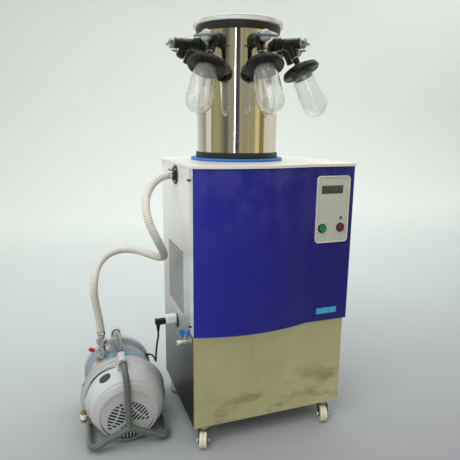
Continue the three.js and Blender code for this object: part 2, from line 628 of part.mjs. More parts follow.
/** An oval housing turned along Y: rows are [distance back, half width, half height, middle]. */
function housing(rows, floor, clearance = 0) {
  const profile = [[0, rows[0][0]], ...rows.map(([v]) => [1, v]), [0, rows.at(-1)[0]]];
  const shape = weld(turned(profile, HOUSING_SIDES).rotateX(-Math.PI / 2));
  const points = shape.attributes.position;
  const between = (a, b, t) => a + (b - a) * t;
  for (let i = 0; i < points.count; i += 1) {
    const v = points.getY(i);
    const next = Math.max(1, rows.findIndex(([at]) => at >= v - 1e-3));
    const [lower, upper] = [rows[next - 1], rows[next]];
    const t = THREE.MathUtils.clamp((v - lower[0]) / (upper[0] - lower[0]), 0, 1);
    const halfWidth = between(lower[1], upper[1], t) + clearance;
    const halfHeight = between(lower[2], upper[2], t) + clearance;
    const middle = between(lower[3], upper[3], t);
    const centre = floor - clearance + halfHeight;
    points.setXYZ(i, points.getX(i) * halfWidth + middle, v, points.getZ(i) * halfHeight + centre);
  }
  return shape;
}

const COVER_ROWS = [[COVER_FACE, 96, 91, 0], [COVER_FACE + 6, 104, 98, 0], [50, 120, 107, 1],
  [80, 129, 113, 1], [110, 129, 115, 0], [135, 122, 116, -5], [COVER_SEAM, 115.5, 115.5, BODY_U]];
const BODY_ROWS = [[COVER_SEAM + 1 + GAP, 114.5, 114, BODY_U], [REAR_SEAM - GAP, 114.5, 115, BODY_U]];
const REAR_ROWS = [[REAR_SEAM, 118, 121, BODY_U], [300, 118, 121, BODY_U], [312, 114, 118, BODY_U],
  [320, 101, 107, BODY_U]];

/** Slots of the front grille, in three fans about the grille's centre. */
function grilleSlots() {
  const { radius, half, depth } = GRILLE;
  return GRILLE.fans.flatMap((fan) => GRILLE.offsets.map((offset) => {
    const reach = Math.sqrt(radius * radius - offset * offset);
    const from = Math.max(GRILLE.hub, Math.abs(offset) * GRILLE.slope);
    return box([from, reach], [-8, depth], [offset - half, offset + half])
      .rotateY(-THREE.MathUtils.degToRad(fan)).translate(0, COVER_FACE, GRILLE.z);
  }));
}

function makePumpHousing(pump) {
  const cover = housing(COVER_ROWS, PUMP_FLOOR);
  const { v, z, base } = BALLAST;
  const boss = bar([-108, v, z], [base, v, z], 6, 10);
  const knob = bar([base - GAP, v, z], [BALLAST.end, v, z], BALLAST.radius, 10);
  const e = EXHAUST;
  const stub = bar([-100, e.v, e.z], [e.u - 1, e.v, e.z], e.pipe, 8);
  const exhaust = bar([e.u, e.v, e.ends[0]], [e.u, e.v, e.ends[1]], e.radius, 12);
  const frontBoss = upright(FRONT_BOSS.outline, FRONT_BOSS.v);
  piece('pump_front_cover', join(cut(cover, ...grilleSlots()), frontBoss, boss, stub, exhaust),
    coverPaint(), pump);
  piece('ballast_knob', knob, blackRubber(), pump);

  const body = housing(BODY_ROWS, PUMP_FLOOR + 3);
  const feet = FOOT_U.flatMap((u) => FOOT_V.map((v) => join(
    place(turned([[0, 0], [15, 0], [13, 20], [0, 20]], 10), u, v, 0),
    box([u - 12, u + 12], [v - 12, v + 12], [18, 62]))));
  const { v: glandV, z: glandZ } = CORD_GLAND;
  const gland = bar([80, glandV, glandZ], [CORD_GLAND.end, glandV, glandZ], CORD_GLAND.radius, 10);
  piece('pump_body', join(body, gland, ...feet), bodyGrey(), pump);

  const handle = sweep([[-9, 110, 256], [-9.2, 128, 265], [-9.6, 152, 274], [-10.4, 196, 279],
    [-11.2, 240, 279], [-11.8, 272, 274], [-12, 296, 266]], TUBE_R, 14, 0.4);
  piece('pump_rear_cover', join(housing(REAR_ROWS, PUMP_FLOOR + 4),
    upright(REAR_BOSS.outline, REAR_BOSS.v), cut(handle, frontBossSpace())), coverPaint(), pump);
}

/** A cutter that ends a tube just short of the boss on the front cover. */
function frontBossSpace() {
  const [from, to] = FRONT_BOSS.v;
  return box([-32, 16], [from - GAP, to + GAP], [215, 290]);
}

/** Cutters that keep a piece clear of the front cover and of the body behind it. */
function innerClearance() {
  return [housing(COVER_ROWS, PUMP_FLOOR, GAP),
    housing([[COVER_SEAM, 114.5, 114, BODY_U], [REAR_SEAM, 114.5, 115, BODY_U]], PUMP_FLOOR + 3, GAP)];
}

function makePumpFrame(pump) {
  const skid = (side) => sweep([[0, -4, 70], [22, -3, 61], [84, -1, 31], [102, -2, SKID_Z + 2],
    [116, 5, SKID_Z], [SKID_HALF, 24, SKID_Z], [SKID_HALF, 150, SKID_Z], [SKID_HALF, 300, SKID_Z]]
    .map(([u, v, z]) => [side * u, v, z]), TUBE_R, 14, 0.3);
  const post = sweep([[0, -5, 66], [-1, 6, 120], [-1, 12, 160], [-1, 16, 200], [-3, 27, 230], [-5, 45, 248],
    [-6.5, 66, 254], [-7, 90, 254]], TUBE_R, 12, 0.4);
  const tie = bar([-SKID_HALF, 296, SKID_Z], [SKID_HALF, 296, SKID_Z], TUBE_R - 1, TUBE_SIDES);
  const struts = [-1, 1].flatMap((side) => STRUT_V.map((v) =>
    bar([side * SKID_HALF, v, SKID_Z], [side * 84, v, 60], 7, 6)));
  const clearance = [...innerClearance(), housing(REAR_ROWS, PUMP_FLOOR + 4, GAP), frontBossSpace()];
  const pads = FOOT_U.flatMap((u) => FOOT_V.map((v) =>
    box([u - 16, u + 16], [v - 16, v + 16], [-1, 63])));
  const frame = cut(join(skid(-1), skid(1), post, tie, ...struts), ...clearance, ...pads);
  piece('pump_frame', frame, framePaint(), pump);
}

function makePumpInlet(pump) {
  const { u, v, arm: armZ, top } = INLET;
  const at = (geometry) => place(geometry, u, v, 0);
  const nut = at(disc(19, [205, 233], 14));
  const body = at(turned([[0, 231], [13, 231], [13, 240], [16, 250], [16, 264], [12, 272], [12, 282],
    [18, 284], [18, 299], [11, 301], [11, top - GAP], [0, top - GAP]], 14));
  const arm = bar([u - 18, v, armZ], [u + 24, v, armZ], 8.5, 10);
  const armNut = bar([u + 17, v, armZ], [u + 27, v, armZ], 12, 6);
  const spindle = bar([u, v, armZ], [u, v - INLET.spindle, armZ], 4.5, 8);
  piece('inlet_valve', cut(join(nut, body, arm, armNut, spindle), ...innerClearance()), zinc(), pump);

  const front = v - INLET.spindle - GAP;
  const middle = front - 3;
  const hub = bar([u, front, armZ], [u, front - 6, armZ], 8, 10);
  const stick = bar([u, middle, armZ], [u - 28, middle, armZ + 15.1], 2.6, 6);
  const grip = bar([u - 25, middle, armZ + 13.5], [u - 42, middle, armZ + 22.7], 7, 8);
  piece('inlet_lever', join(hub, stick, grip), tint(0xb01828), pump);
}

function makePump() {
  const pump = group();
  pump.position.set(PUMP_PLACE.x, PUMP_PLACE.y, 0);
  pump.rotation.z = THREE.MathUtils.degToRad(PUMP_PLACE.yaw);
  makePumpHousing(pump);
  makePumpFrame(pump);
  makePumpInlet(pump);
}

// ---- hose and cord -------------------------------------------------------------------------------

const HOSE_STEPS = 40;
const CORD_STEPS = 18;
const HOSE_ROUTE = [[-14, 201, 854], [-24, 201, 854], [-50, 198, 846], [-80, 190, 824],
  [-102, 165, 790], [-110, 130, 755], [-104, 105, 715], [-85, 100, 670], [-64, 125, 628],
  [-50, 175, 596], [-55, 230, 578], [-75, 285, 574], [-110, 320, 582], [-150, 335, 586],
  [-190, 332, 582], [-225, 318, 567], [-250, 296, 542], [-263, 272, 505], [-267, 262, 465],
  [-264, 261, 428], [-258, 261, 388], [-253, 260.6, 348], [-251.7, 260.3, 320], [-251.7, 260.3, 307]];
const CORD_ROUTE = [[-84.5, 331.3, 180], [-79, 331.3, 180], [-68, 326, 177], [-62.5, 310, 170],
  [-62.5, 292, 169.5], [-65, 273, 185], [-68, 252, 220], [-68, 232, 262], [-66, 214, 302],
  [-66, 212, 321.7]];

function makeHoseAndCord() {
  piece('vacuum_hose', sweep(HOSE_ROUTE, HOSE_R, HOSE_STEPS), hosePlastic());
  piece('pump_cord', sweep(CORD_ROUTE, CORD_R, CORD_STEPS), blackRubber());
}

makeBasePan();
makeLeftSide();
makeWrap();
makeFront();
makeTopPlate();
makeControlPanel();
makeCasters();
makeRefrigeration();
makeDrum();
makeManifold();
makeSideFittings();
makePump();
const footprint = new THREE.Box3().setFromObject(model).getCenter(new THREE.Vector3());
makeHoseAndCord();
model.position.set(-footprint.x, -footprint.y, 0);

export default model;
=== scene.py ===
"""Looks of a manifold freeze dryer: a wheeled cabinet, a steel drum with valves and flasks, and a pump.

Shapes are built in working millimetres (X right along the front, Y back, Z up, zero at the cabinet's
front left foot point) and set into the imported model's frame in metres.
"""
import json
import logging
import math
from dataclasses import dataclass
from enum import Enum
from typing import Callable, Sequence

import bmesh
import bpy
from mathutils import Matrix, Vector

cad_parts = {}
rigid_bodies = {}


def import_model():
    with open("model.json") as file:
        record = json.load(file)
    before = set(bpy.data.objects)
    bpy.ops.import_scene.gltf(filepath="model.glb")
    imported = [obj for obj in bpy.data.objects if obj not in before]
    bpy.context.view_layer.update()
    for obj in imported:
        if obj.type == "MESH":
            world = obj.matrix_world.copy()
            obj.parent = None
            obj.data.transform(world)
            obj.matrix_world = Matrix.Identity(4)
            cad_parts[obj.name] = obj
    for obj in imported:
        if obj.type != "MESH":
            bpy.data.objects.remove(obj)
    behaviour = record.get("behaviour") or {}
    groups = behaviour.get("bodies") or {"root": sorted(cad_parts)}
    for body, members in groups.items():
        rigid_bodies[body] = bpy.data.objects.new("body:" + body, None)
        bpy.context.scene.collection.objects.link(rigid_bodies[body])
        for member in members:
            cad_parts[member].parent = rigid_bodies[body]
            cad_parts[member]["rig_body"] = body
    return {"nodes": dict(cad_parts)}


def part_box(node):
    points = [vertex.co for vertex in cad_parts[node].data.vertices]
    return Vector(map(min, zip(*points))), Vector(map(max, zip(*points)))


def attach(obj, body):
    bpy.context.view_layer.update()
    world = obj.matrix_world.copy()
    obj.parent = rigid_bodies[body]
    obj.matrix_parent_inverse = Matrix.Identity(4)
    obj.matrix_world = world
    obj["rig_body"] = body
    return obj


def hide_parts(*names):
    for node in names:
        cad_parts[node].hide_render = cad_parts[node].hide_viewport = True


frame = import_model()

LOG = logging.getLogger("freeze_dryer")
STATIC = "dryer"
METRE = 0.001
MILLIMETRES = 1000
PORTS = 8
CAPPED = (0, 1, 7)
CASTERS = ((38, 20, -21), (475, 20, -19), (38, 366, -35), (475, 366, 12))

Point = tuple[float, float, float]
Flat = tuple[float, float]
Colour = tuple[float, float, float]


# ---- shapes ------------------------------------------------------------------------------------


class Shape:
    """Corners in millimetres and the faces between them."""

    def __init__(self, corners: Sequence[Sequence[float]], faces: Sequence[Sequence[int]]) -> None:
        """Keeps the corners as vectors and the faces as index tuples."""
        self.corners = [Vector(c) for c in corners]
        self.faces = [tuple(f) for f in faces]

    def __add__(self, other: "Shape") -> "Shape":
        """Puts two shapes into one."""
        shift = len(self.corners)
        return Shape(self.corners + other.corners,
                     self.faces + [tuple(i + shift for i in f) for f in other.faces])

    def moved(self, matrix: Matrix) -> "Shape":
        """Returns the shape carried by a matrix."""
        return Shape([matrix @ c for c in self.corners], self.faces)

    def shifted(self, x: float, y: float, z: float) -> "Shape":
        """Returns the shape moved by a distance along each axis."""
        return self.moved(Matrix.Translation((x, y, z)))

    def minus(self, *cutters: "Shape") -> "Shape":
        """Cuts other shapes out of this one.

        Args:
            cutters: Closed shapes that don't overlap each other.

        Returns:
            The shape that is left.
        """
        body, tool = self._temporary(), all_of(cutters)._temporary()
        change = body.modifiers.new("cut", "BOOLEAN")
        change.operation, change.solver, change.object = "DIFFERENCE", "EXACT", tool
        view = bpy.context.evaluated_depsgraph_get()
        left = body.evaluated_get(view).to_mesh()
        result = Shape([v.co.copy() for v in left.vertices], [tuple(p.vertices) for p in left.polygons])
        for item in (body, tool):
            mesh = item.data
            bpy.data.objects.remove(item)
            bpy.data.meshes.remove(mesh)
        return result

    def _temporary(self) -> bpy.types.Object:
        """Makes a short-lived object with outward faces, for cutting."""
        net = net_of(self, Vector(), 1.0)
        mesh = bpy.data.meshes.new("temporary")
        net.to_mesh(mesh)
        net.free()
        return placed("temporary", mesh)


def placed(name: str, data: bpy.types.ID) -> bpy.types.Object:
    """Puts a mesh, light or camera into the scene as an object."""
    made = bpy.data.objects.new(name, data)
    bpy.context.scene.collection.objects.link(made)
    return made


def all_of(shapes: Sequence[Shape]) -> Shape:
    """Puts any number of shapes into one."""
    whole = Shape([], [])
    for shape in shapes:
        whole = whole + shape
    return whole


def net_of(shape: Shape, shift: Vector, scale: float) -> bmesh.types.BMesh:
    """Turns a shape into an editable mesh with outward faces.

    Args:
        shape: The corners and faces.
        shift: A distance added to each corner first.
        scale: The factor then applied to it.

    Returns:
        The new bmesh, which the caller frees.
    """
    net = bmesh.new()
    corners = [net.verts.new((c + shift) * scale) for c in shape.corners]
    for face in shape.faces:
        if len(set(face)) > 2:
            try:
                net.faces.new([corners[i] for i in face])
            except ValueError:
                LOG.debug("a repeated face was left out")
    bmesh.ops.recalc_face_normals(net, faces=net.faces)
    return net


def softened(profile: Sequence[Sequence[float]], radius: float, steps: int = 3) -> list[tuple[float, ...]]:
    """Rounds the inner corners of a line of points.

    Args:
        profile: The points, in two or three dimensions.
        radius: How far from each corner the rounding starts.
        steps: Straight parts in each rounding.

    Returns:
        The points of the rounded line.
    """
    points = [Vector(p) for p in profile]
    rounded = [tuple(points[0])]
    for before, corner, after in zip(points, points[1:], points[2:]):
        back, on = before - corner, after - corner
        reach = min(radius, 0.45 * back.length, 0.45 * on.length)
        start, end = corner + back.normalized() * reach, corner + on.normalized() * reach
        for step in range(steps + 1):
            t = step / steps
            rounded.append(tuple(start * (1 - t) ** 2 + corner * (2 * t * (1 - t)) + end * t * t))
    rounded.append(tuple(points[-1]))
    return rounded


def turns(count: int) -> list[float]:
    """Even turns round a full circle, in radians."""
    return [2 * math.pi * k / count for k in range(count)]


def turned(profile: Sequence[Flat], sides: int = 96) -> Shape:
    """Turns a profile about the Z axis.

    Args:
        profile: (radius, height) points. The line starts and ends on the axis, or closes on itself.
        sides: Parts of the full turn.

    Returns:
        The turned shape.
    """
    closed = tuple(profile[0]) == tuple(profile[-1])
    corners: list[Point] = []
    rows: list[list[int]] = []
    for radius, height in profile[:-1] if closed else profile:
        first = len(corners)
        if radius < 1e-6:
            corners.append((0, 0, height))
            rows.append([first] * sides)
        else:
            corners += [(radius * math.cos(a), radius * math.sin(a), height) for a in turns(sides)]
            rows.append(list(range(first, first + sides)))
    faces = []
    for lower, upper in zip(rows, rows[1:] + (rows[:1] if closed else [])):
        for i in range(sides):
            j = (i + 1) % sides
            face = list(dict.fromkeys((lower[i], lower[j], upper[j], upper[i])))
            if len(face) > 2:
                faces.append(tuple(face))
    return Shape(corners, faces)


def lathe(profile: Sequence[Flat], soft: float, sides: int = 96, steps: int = 3) -> Shape:
    """Turns a profile about the Z axis once its corners are rounded."""
    return turned(softened(profile, soft, steps), sides)


def lofted(rings: Sequence[Sequence[Sequence[float]]], looped: bool = False) -> Shape:
    """Skins a row of rings that have the same number of points.

    Args:
        rings: The rings, in order.
        looped: Whether the last ring joins the first; otherwise both ends are closed by a face.

    Returns:
        The skinned shape.
    """
    count = len(rings[0])
    corners = [p for r in rings for p in r]
    last = len(rings) if looped else len(rings) - 1
    faces = [(k * count + i, k * count + (i + 1) % count,
              (k + 1) % len(rings) * count + (i + 1) % count, (k + 1) % len(rings) * count + i)
             for k in range(last) for i in range(count)]
    if not looped:
        faces += [tuple(range(count)), tuple(range(len(corners) - count, len(corners)))]
    return Shape(corners, faces)


def block(x: Flat, y: Flat, z: Flat) -> Shape:
    """A box between two distances along each axis."""
    corners = [(a, b, c) for a in x for b in y for c in z]
    sides = [(0, 1, 3, 2), (4, 6, 7, 5), (0, 4, 5, 1), (2, 3, 7, 6), (0, 2, 6, 4), (1, 5, 7, 3)]
    return Shape(corners, sides)


def prism(outline: Sequence[Flat], low: float, high: float) -> Shape:
    """Raises a plan outline between two heights."""
    return lofted([[(x, y, z) for x, y in outline] for z in (low, high)])


def facing(outline: Sequence[Flat], near: float, far: float) -> Shape:
    """Raises an outline of (x, z) points between two distances back."""
    return lofted([[(x, y, z) for x, z in outline] for y in (near, far)])


def aimed(start: Sequence[float], end: Sequence[float]) -> Matrix:
    """A matrix that stands at one point with its Z axis aimed at another."""
    way = Vector(end) - Vector(start)
    return Matrix.Translation(start) @ way.to_track_quat("Z", "Y").to_matrix().to_4x4()


def rod(start: Point, end: Point, radius: float, edge: float = 0.6, sides: int = 32) -> Shape:
    """A round bar with softened rims.

    Args:
        start: The middle of one end.
        end: The middle of the other.
        radius: The bar's radius.
        edge: How far the rims are rounded.
        sides: Sides of the section; six make a hexagon.

    Returns:
        The bar.
    """
    length = (Vector(end) - Vector(start)).length
    profile = [(0, 0), (radius, 0), (radius, length), (0, length)]
    return lathe(profile, edge, sides).moved(aimed(start, end))


def smooth_line(points: Sequence[Point], count: int, tension: float = 0.5) -> list[Vector]:
    """Runs a Catmull-Rom line through points and spaces it evenly.

    Args:
        points: The points it passes through.
        count: How many points come back.
        tension: The share of each neighbour-to-neighbour chord that a tangent takes.

    Returns:
        Evenly spaced points along the line.
    """
    steps = 24
    known = [Vector(p) for p in points]
    known = [known[0] * 2 - known[1], *known, known[-1] * 2 - known[-2]]
    fine: list[Vector] = []
    for before, start, end, after in zip(known, known[1:], known[2:], known[3:]):
        out, into = (end - before) * tension, (after - start) * tension
        for step in range(steps):
            t = step / steps
            fine.append(start * (2 * t ** 3 - 3 * t * t + 1) + out * (t ** 3 - 2 * t * t + t)
                        + end * (3 * t * t - 2 * t ** 3) + into * (t ** 3 - t * t))
    fine.append(known[-2])
    travelled = [0.0]
    for start, end in zip(fine, fine[1:]):
        travelled.append(travelled[-1] + (end - start).length)
    spaced, k = [], 0
    for i in range(count):
        goal = travelled[-1] * i / (count - 1)
        while k < len(fine) - 2 and travelled[k + 1] < goal:
            k += 1
        span = travelled[k + 1] - travelled[k]
        spaced.append(fine[k].lerp(fine[k + 1], (goal - travelled[k]) / span if span else 0))
    return spaced


def tube(line: Sequence[Vector], radii: Sequence[float], sides: int = 20) -> Shape:
    """A tube about a line whose section never twists.

    Args:
        line: Points along the middle.
        radii: The radius at each point.
        sides: Sides of the section.

    Returns:
        The closed tube.
    """
    ahead = (line[1] - line[0]).normalized()
    across = ahead.orthogonal().normalized()
    rings = []
    for i, (middle, radius) in enumerate(zip(line, radii)):
        new = (line[min(i + 1, len(line) - 1)] - line[max(i - 1, 0)]).normalized()
        across = ahead.rotation_difference(new) @ across
        ahead = new
        side = ahead.cross(across)
        rings.append([middle + (across * math.cos(a) + side * math.sin(a)) * radius
                      for a in turns(sides)])
    return lofted(rings)


def rounded_outline(x: Flat, z: Flat, radius: float, steps: int = 8) -> list[Flat]:
    """The corner points of a rounded rectangle, in order round it."""
    corners = [(x[1] - radius, z[0] + radius, -90), (x[1] - radius, z[1] - radius, 0),
               (x[0] + radius, z[1] - radius, 90), (x[0] + radius, z[0] + radius, 180)]
    return [(a + radius * math.cos(math.radians(turn + 90 * i / steps)),
             b + radius * math.sin(math.radians(turn + 90 * i / steps)))
            for a, b, turn in corners for i in range(steps + 1)]


def inset(x: Flat, z: Flat, radius: float, by: float) -> list[Flat]:
    """A rounded rectangle's outline drawn in by a distance."""
    return rounded_outline((x[0] + by, x[1] - by), (z[0] + by, z[1] - by), max(radius - by, 0.5))


# ---- finishes ----------------------------------------------------------------------------------


class Tree:
    """A node tree, and short ways to add to it."""

    def __init__(self, tree: bpy.types.NodeTree) -> None:
        """Takes the tree that nodes are added to."""
        self.tree = tree

    def put(self, socket: bpy.types.NodeSocket, value: object) -> None:
        """Links a socket into another, or sets its value."""
        if isinstance(value, bpy.types.NodeSocket):
            self.tree.links.new(value, socket)
        else:
            socket.default_value = (*value, 1.0) if socket.type == "RGBA" and len(value) == 3 else value

    def node(self, kind: str, options: dict[str, object] | None = None,
             **values: object) -> bpy.types.Node:
        """Adds a node.

        Args:
            kind: The node's type, without its common prefix.
            options: The node's own settings.
            values: Its sockets, each named with underscores for spaces.

        Returns:
            The new node.
        """
        made = self.tree.nodes.new("ShaderNode" + kind)
        for key, value in (options or {}).items():
            setattr(made, key, value)
        for name, value in values.items():
            self.put(made.inputs[name.replace("_", " ")], value)
        return made

    def span(self, value: bpy.types.NodeSocket, low: float, high: float,
             start: float = 0.3, stop: float = 0.7) -> bpy.types.NodeSocket:
        """Carries a value from one range into another."""
        return self.node("MapRange", Value=value, From_Min=start, From_Max=stop, To_Min=low,
                         To_Max=high).outputs["Result"]

    def mixed(self, share: bpy.types.NodeSocket, first: object, second: object) -> bpy.types.NodeSocket:
        """Mixes two colours by a share."""
        made = self.node("Mix", {"data_type": "RGBA"})
        self.put(made.inputs[0], share)
        self.put(made.inputs[6], first)
        self.put(made.inputs[7], second)
        return made.outputs[2]

    def ramp(self, value: bpy.types.NodeSocket,
             stops: Sequence[tuple[float, Colour]]) -> bpy.types.NodeSocket:
        """Colours that a value passes through."""
        made = self.node("ValToRGB", Fac=value)
        parts = made.color_ramp.elements
        while len(parts) < len(stops):
            parts.new(1.0)
        for part, (at, colour) in zip(parts, stops):
            part.position, part.color = at, (*colour, 1.0)
        return made.outputs["Color"]

    def sums(self, how: str, *values: object) -> bpy.types.NodeSocket:
        """One step of arithmetic on up to three values."""
        made = self.node("Math", {"operation": how})
        for socket, value in zip(made.inputs, values):
            self.put(socket, value)
        return made.outputs[0]


def shaded(colour: Colour, factor: float) -> Colour:
    """A colour made darker or lighter by a factor."""
    return tuple(min(1.0, c * factor) for c in colour)


class Graph(Tree):
    """A material's nodes, with its main shader."""

    def __init__(self, name: str) -> None:
        """Starts a material whose shader is linked to its output."""
        self.material = bpy.data.materials.new(name)
        self.material.use_nodes = True
        super().__init__(self.material.node_tree)
        self.tree.nodes.clear()
        self.shader = self.node("BsdfPrincipled")
        output = self.node("OutputMaterial")
        self.tree.links.new(self.shader.outputs["BSDF"], output.inputs["Surface"])
        self.place = self.node("TexCoord").outputs["Object"]

    def surface(self, **values: object) -> None:
        """Sets the shader's sockets, each named with underscores for spaces."""
        for name, value in values.items():
            self.put(self.shader.inputs[name.replace("_", " ")], value)

    def grain(self, scale: float, stretch: Point = (1, 1, 1), detail: float = 4.0) -> bpy.types.NodeSocket:
        """Cloudy noise, in cycles a metre, that can be stretched along an axis."""
        spread = self.node("Mapping", Vector=self.place, Scale=stretch)
        return self.node("TexNoise", Vector=spread.outputs["Vector"], Scale=scale,
                         Detail=detail).outputs["Fac"]

    def mottled(self, cloud: bpy.types.NodeSocket, colour: Colour, amount: float) -> bpy.types.NodeSocket:
        """A colour that noise makes darker and lighter by an amount."""
        return self.mixed(self.span(cloud, 0, 1), shaded(colour, 1 - amount), shaded(colour, 1 + amount))

    def relief(self, height: bpy.types.NodeSocket, depth: float) -> bpy.types.NodeSocket:
        """Surface relief of a depth in metres."""
        return self.node("Bump", Height=height, Distance=depth, Strength=1.0).outputs["Normal"]

    def axes(self) -> Sequence[bpy.types.NodeSocket]:
        """The three distances of a point in the frame, as a node's outputs."""
        return self.node("SeparateXYZ", Vector=self.place).outputs


@dataclass(frozen=True)
class Finish:
    """A named finish and the record's slot that it belongs to."""

    name: str
    slot: str

    def material(self) -> bpy.types.Material:
        """Returns the finish's material, made the first time that it is asked for."""
        known = bpy.data.materials.get(self.name)
        if known:
            return known
        graph = Graph(self.name)
        self.paint(graph)
        return graph.material

    def paint(self, graph: Graph) -> None:
        """Sets the graph up for this finish."""
        raise NotImplementedError


@dataclass(frozen=True)
class Enamel(Finish):
    """Sprayed or stoved paint: slight mottling, fine orange peel and a clear gloss."""

    colour: Colour = (0.8, 0.8, 0.8)
    roughness: float = 0.35
    coat: float = 0.3
    mottle: float = 0.08
    peel: float = 0.00003

    def paint(self, graph: Graph) -> None:
        """Sets the graph up for paint."""
        cloud = graph.grain(9, detail=6)
        speck = graph.grain(900, detail=2)
        tone = graph.mottled(cloud, self.colour, self.mottle)
        graph.surface(Base_Color=tone, Coat_Weight=self.coat, Coat_Roughness=0.12,
                      Roughness=graph.span(cloud, self.roughness * 0.85, self.roughness * 1.2),
                      Normal=graph.relief(speck, self.peel))


@dataclass(frozen=True)
class BluePaint(Finish):
    """Gloss blue paint with a painted sheen in lighter mottled patches high on the left, and painted shade
    making it darker towards the right.
    """

    # left and right are the painted-lit and the painted-shade ends of the blue.
    left: Colour = (0.013, 0.019, 0.30)
    right: Colour = (0.013, 0.012, 0.185)

    def paint(self, graph: Graph) -> None:
        """Sets the graph up for the blue front."""
        # Painted shade: darker blue from left to right.
        across = graph.span(graph.axes()[0], 0, 1, -0.10, 0.34)
        tone = graph.mixed(across, self.left, self.right)
        # Painted sheen: lighter mottled patches high up.
        sheen_patches = graph.span(graph.grain(16, (1, 1, 0.6), 7), 0, 1, 0.42, 0.62)
        high = graph.span(graph.axes()[2], 0, 1, 0.60, 0.86)
        lift = graph.sums("MULTIPLY", sheen_patches, high)
        tone = graph.mixed(graph.sums("MULTIPLY", lift, 0.5), tone, (0.062, 0.062, 0.33))
        graph.surface(Base_Color=tone, Coat_Weight=0.12, Coat_Roughness=0.1, Specular_IOR_Level=0.3,
                      Roughness=graph.span(graph.grain(30), 0.26, 0.4),
                      Normal=graph.relief(graph.grain(700, detail=3), 0.00004))


@dataclass(frozen=True)
class SideMetal(Finish):
    """Satin sheet, more metallic low down, with a painted reflection darkening it towards the floor and
    painted shade in its slots.
    """

    inside: float = 9.0

    def paint(self, graph: Graph) -> None:
        """Sets the graph up for the side sheets."""
        axes = graph.axes()
        # Painted reflection: pale high up and dark towards the floor, standing in for the surroundings seen
        # in the sheet.
        lean = graph.sums("MULTIPLY_ADD", axes[1], 0.3, axes[2])
        wave = graph.sums("MULTIPLY", graph.grain(7, (1, 1, 0.5), 5), 0.06)
        level = graph.span(graph.sums("ADD", lean, wave), 0, 1, 0.0, 0.9)
        stops = [(0.05, 0.045), (0.14, 0.06), (0.25, 0.09), (0.34, 0.13), (0.40, 0.18), (0.435, 0.38),
                 (0.46, 0.46), (0.72, 0.61), (0.82, 0.80), (1.0, 0.90)]
        tone = graph.ramp(level, [(at, (v, v * 0.99, v * (0.965 if at > 0.42 else 0.80))) for at, v in stops])
        fine = graph.grain(260, (1, 1, 0.04), 3)
        tone = graph.mixed(graph.span(fine, 0, 0.10), tone, (0.3, 0.3, 0.29))
        bare = graph.span(level, 0.9, 0.25, 0.3, 0.5)
        # Painted shade: slot walls inward of the inside depth are painted near black.
        slot_shade = graph.span(axes[0], 0, 1, self.inside, self.inside + 0.0002)
        tone = graph.mixed(slot_shade, tone, (0.006, 0.006, 0.006))
        bare = graph.sums("MULTIPLY", bare, graph.span(slot_shade, 1, 0))
        graph.surface(Base_Color=tone, Metallic=bare, Roughness=graph.span(fine, 0.3, 0.42),
                      Normal=graph.relief(fine, 0.00002))


@dataclass(frozen=True)
class BrushedFront(Finish):
    """Brushed steel with a warm cast, fine lines along it and patchy darkening near the floor."""

    colour: Colour = (0.71, 0.68, 0.375)

    def paint(self, graph: Graph) -> None:
        """Sets the graph up for the lower front."""
        axes = graph.axes()
        line = graph.grain(420, (1, 1, 0.02), 3)
        cloud = graph.grain(7, (1, 1, 1), 5)
        tone = graph.mixed(graph.span(cloud, 0, 1), shaded(self.colour, 0.93), shaded(self.colour, 1.07))
        tone = graph.mixed(graph.span(line, 0, 0.25), tone, shaded(self.colour, 1.25))
        # Patchy darkening near the floor that reaches higher towards the right.
        right = graph.span(axes[0], 0.0, 0.07, -0.1, 0.42)
        low = graph.span(graph.sums("SUBTRACT", axes[2], right), 1, 0, 0.10, 0.19)
        spot = graph.span(graph.grain(17, (0.6, 1, 1.3), 6), 0, 1, 0.50, 0.66)
        low_patches = graph.sums("MULTIPLY", graph.sums("MULTIPLY", low, spot), 0.62)
        tone = graph.mixed(low_patches, tone, shaded(self.colour, 0.42))
        graph.surface(Base_Color=tone, Metallic=0.85, Roughness=graph.span(cloud, 0.38, 0.48),
                      Normal=graph.relief(line, 0.00002))


@dataclass(frozen=True)
class MirrorSteel(Finish):
    """Polished sheet, drawn very slightly along its height."""

    def paint(self, graph: Graph) -> None:
        """Sets the graph up for the drum."""
        line = graph.grain(160, (1, 1, 0.01), 3)
        haze = graph.grain(12, (1, 1, 0.3), 5)
        tone = graph.mixed(graph.span(line, 0, 1), (0.64, 0.61, 0.52), (0.78, 0.76, 0.68))
        graph.surface(Base_Color=tone, Metallic=1.0, Roughness=graph.span(haze, 0.035, 0.10),
                      Normal=graph.relief(line, 0.000012))


class MetalTone(Enum):
    """Colours of bare metal parts."""

    CHROME = (0.72, 0.72, 0.70)
    ZINC = (0.55, 0.55, 0.53)
    BRASS = (0.52, 0.37, 0.14)
    DARK = (0.10, 0.10, 0.10)


@dataclass(frozen=True)
class BareMetal(Finish):
    """Turned or plated metal with fine lines and light tarnish."""

    tone: MetalTone = MetalTone.ZINC
    roughness: float = 0.22

    def paint(self, graph: Graph) -> None:
        """Sets the graph up for bare metal."""
        line = graph.grain(600, (0.15, 0.15, 1.0), 3)
        cloud = graph.grain(45, detail=5)
        colour = self.tone.value
        tone = graph.mixed(graph.span(cloud, 0, 0.55), colour, shaded(colour, 0.6))
        graph.surface(Base_Color=tone, Metallic=1.0,
                      Roughness=graph.span(cloud, self.roughness, self.roughness + 0.16),
                      Normal=graph.relief(line, 0.00002))


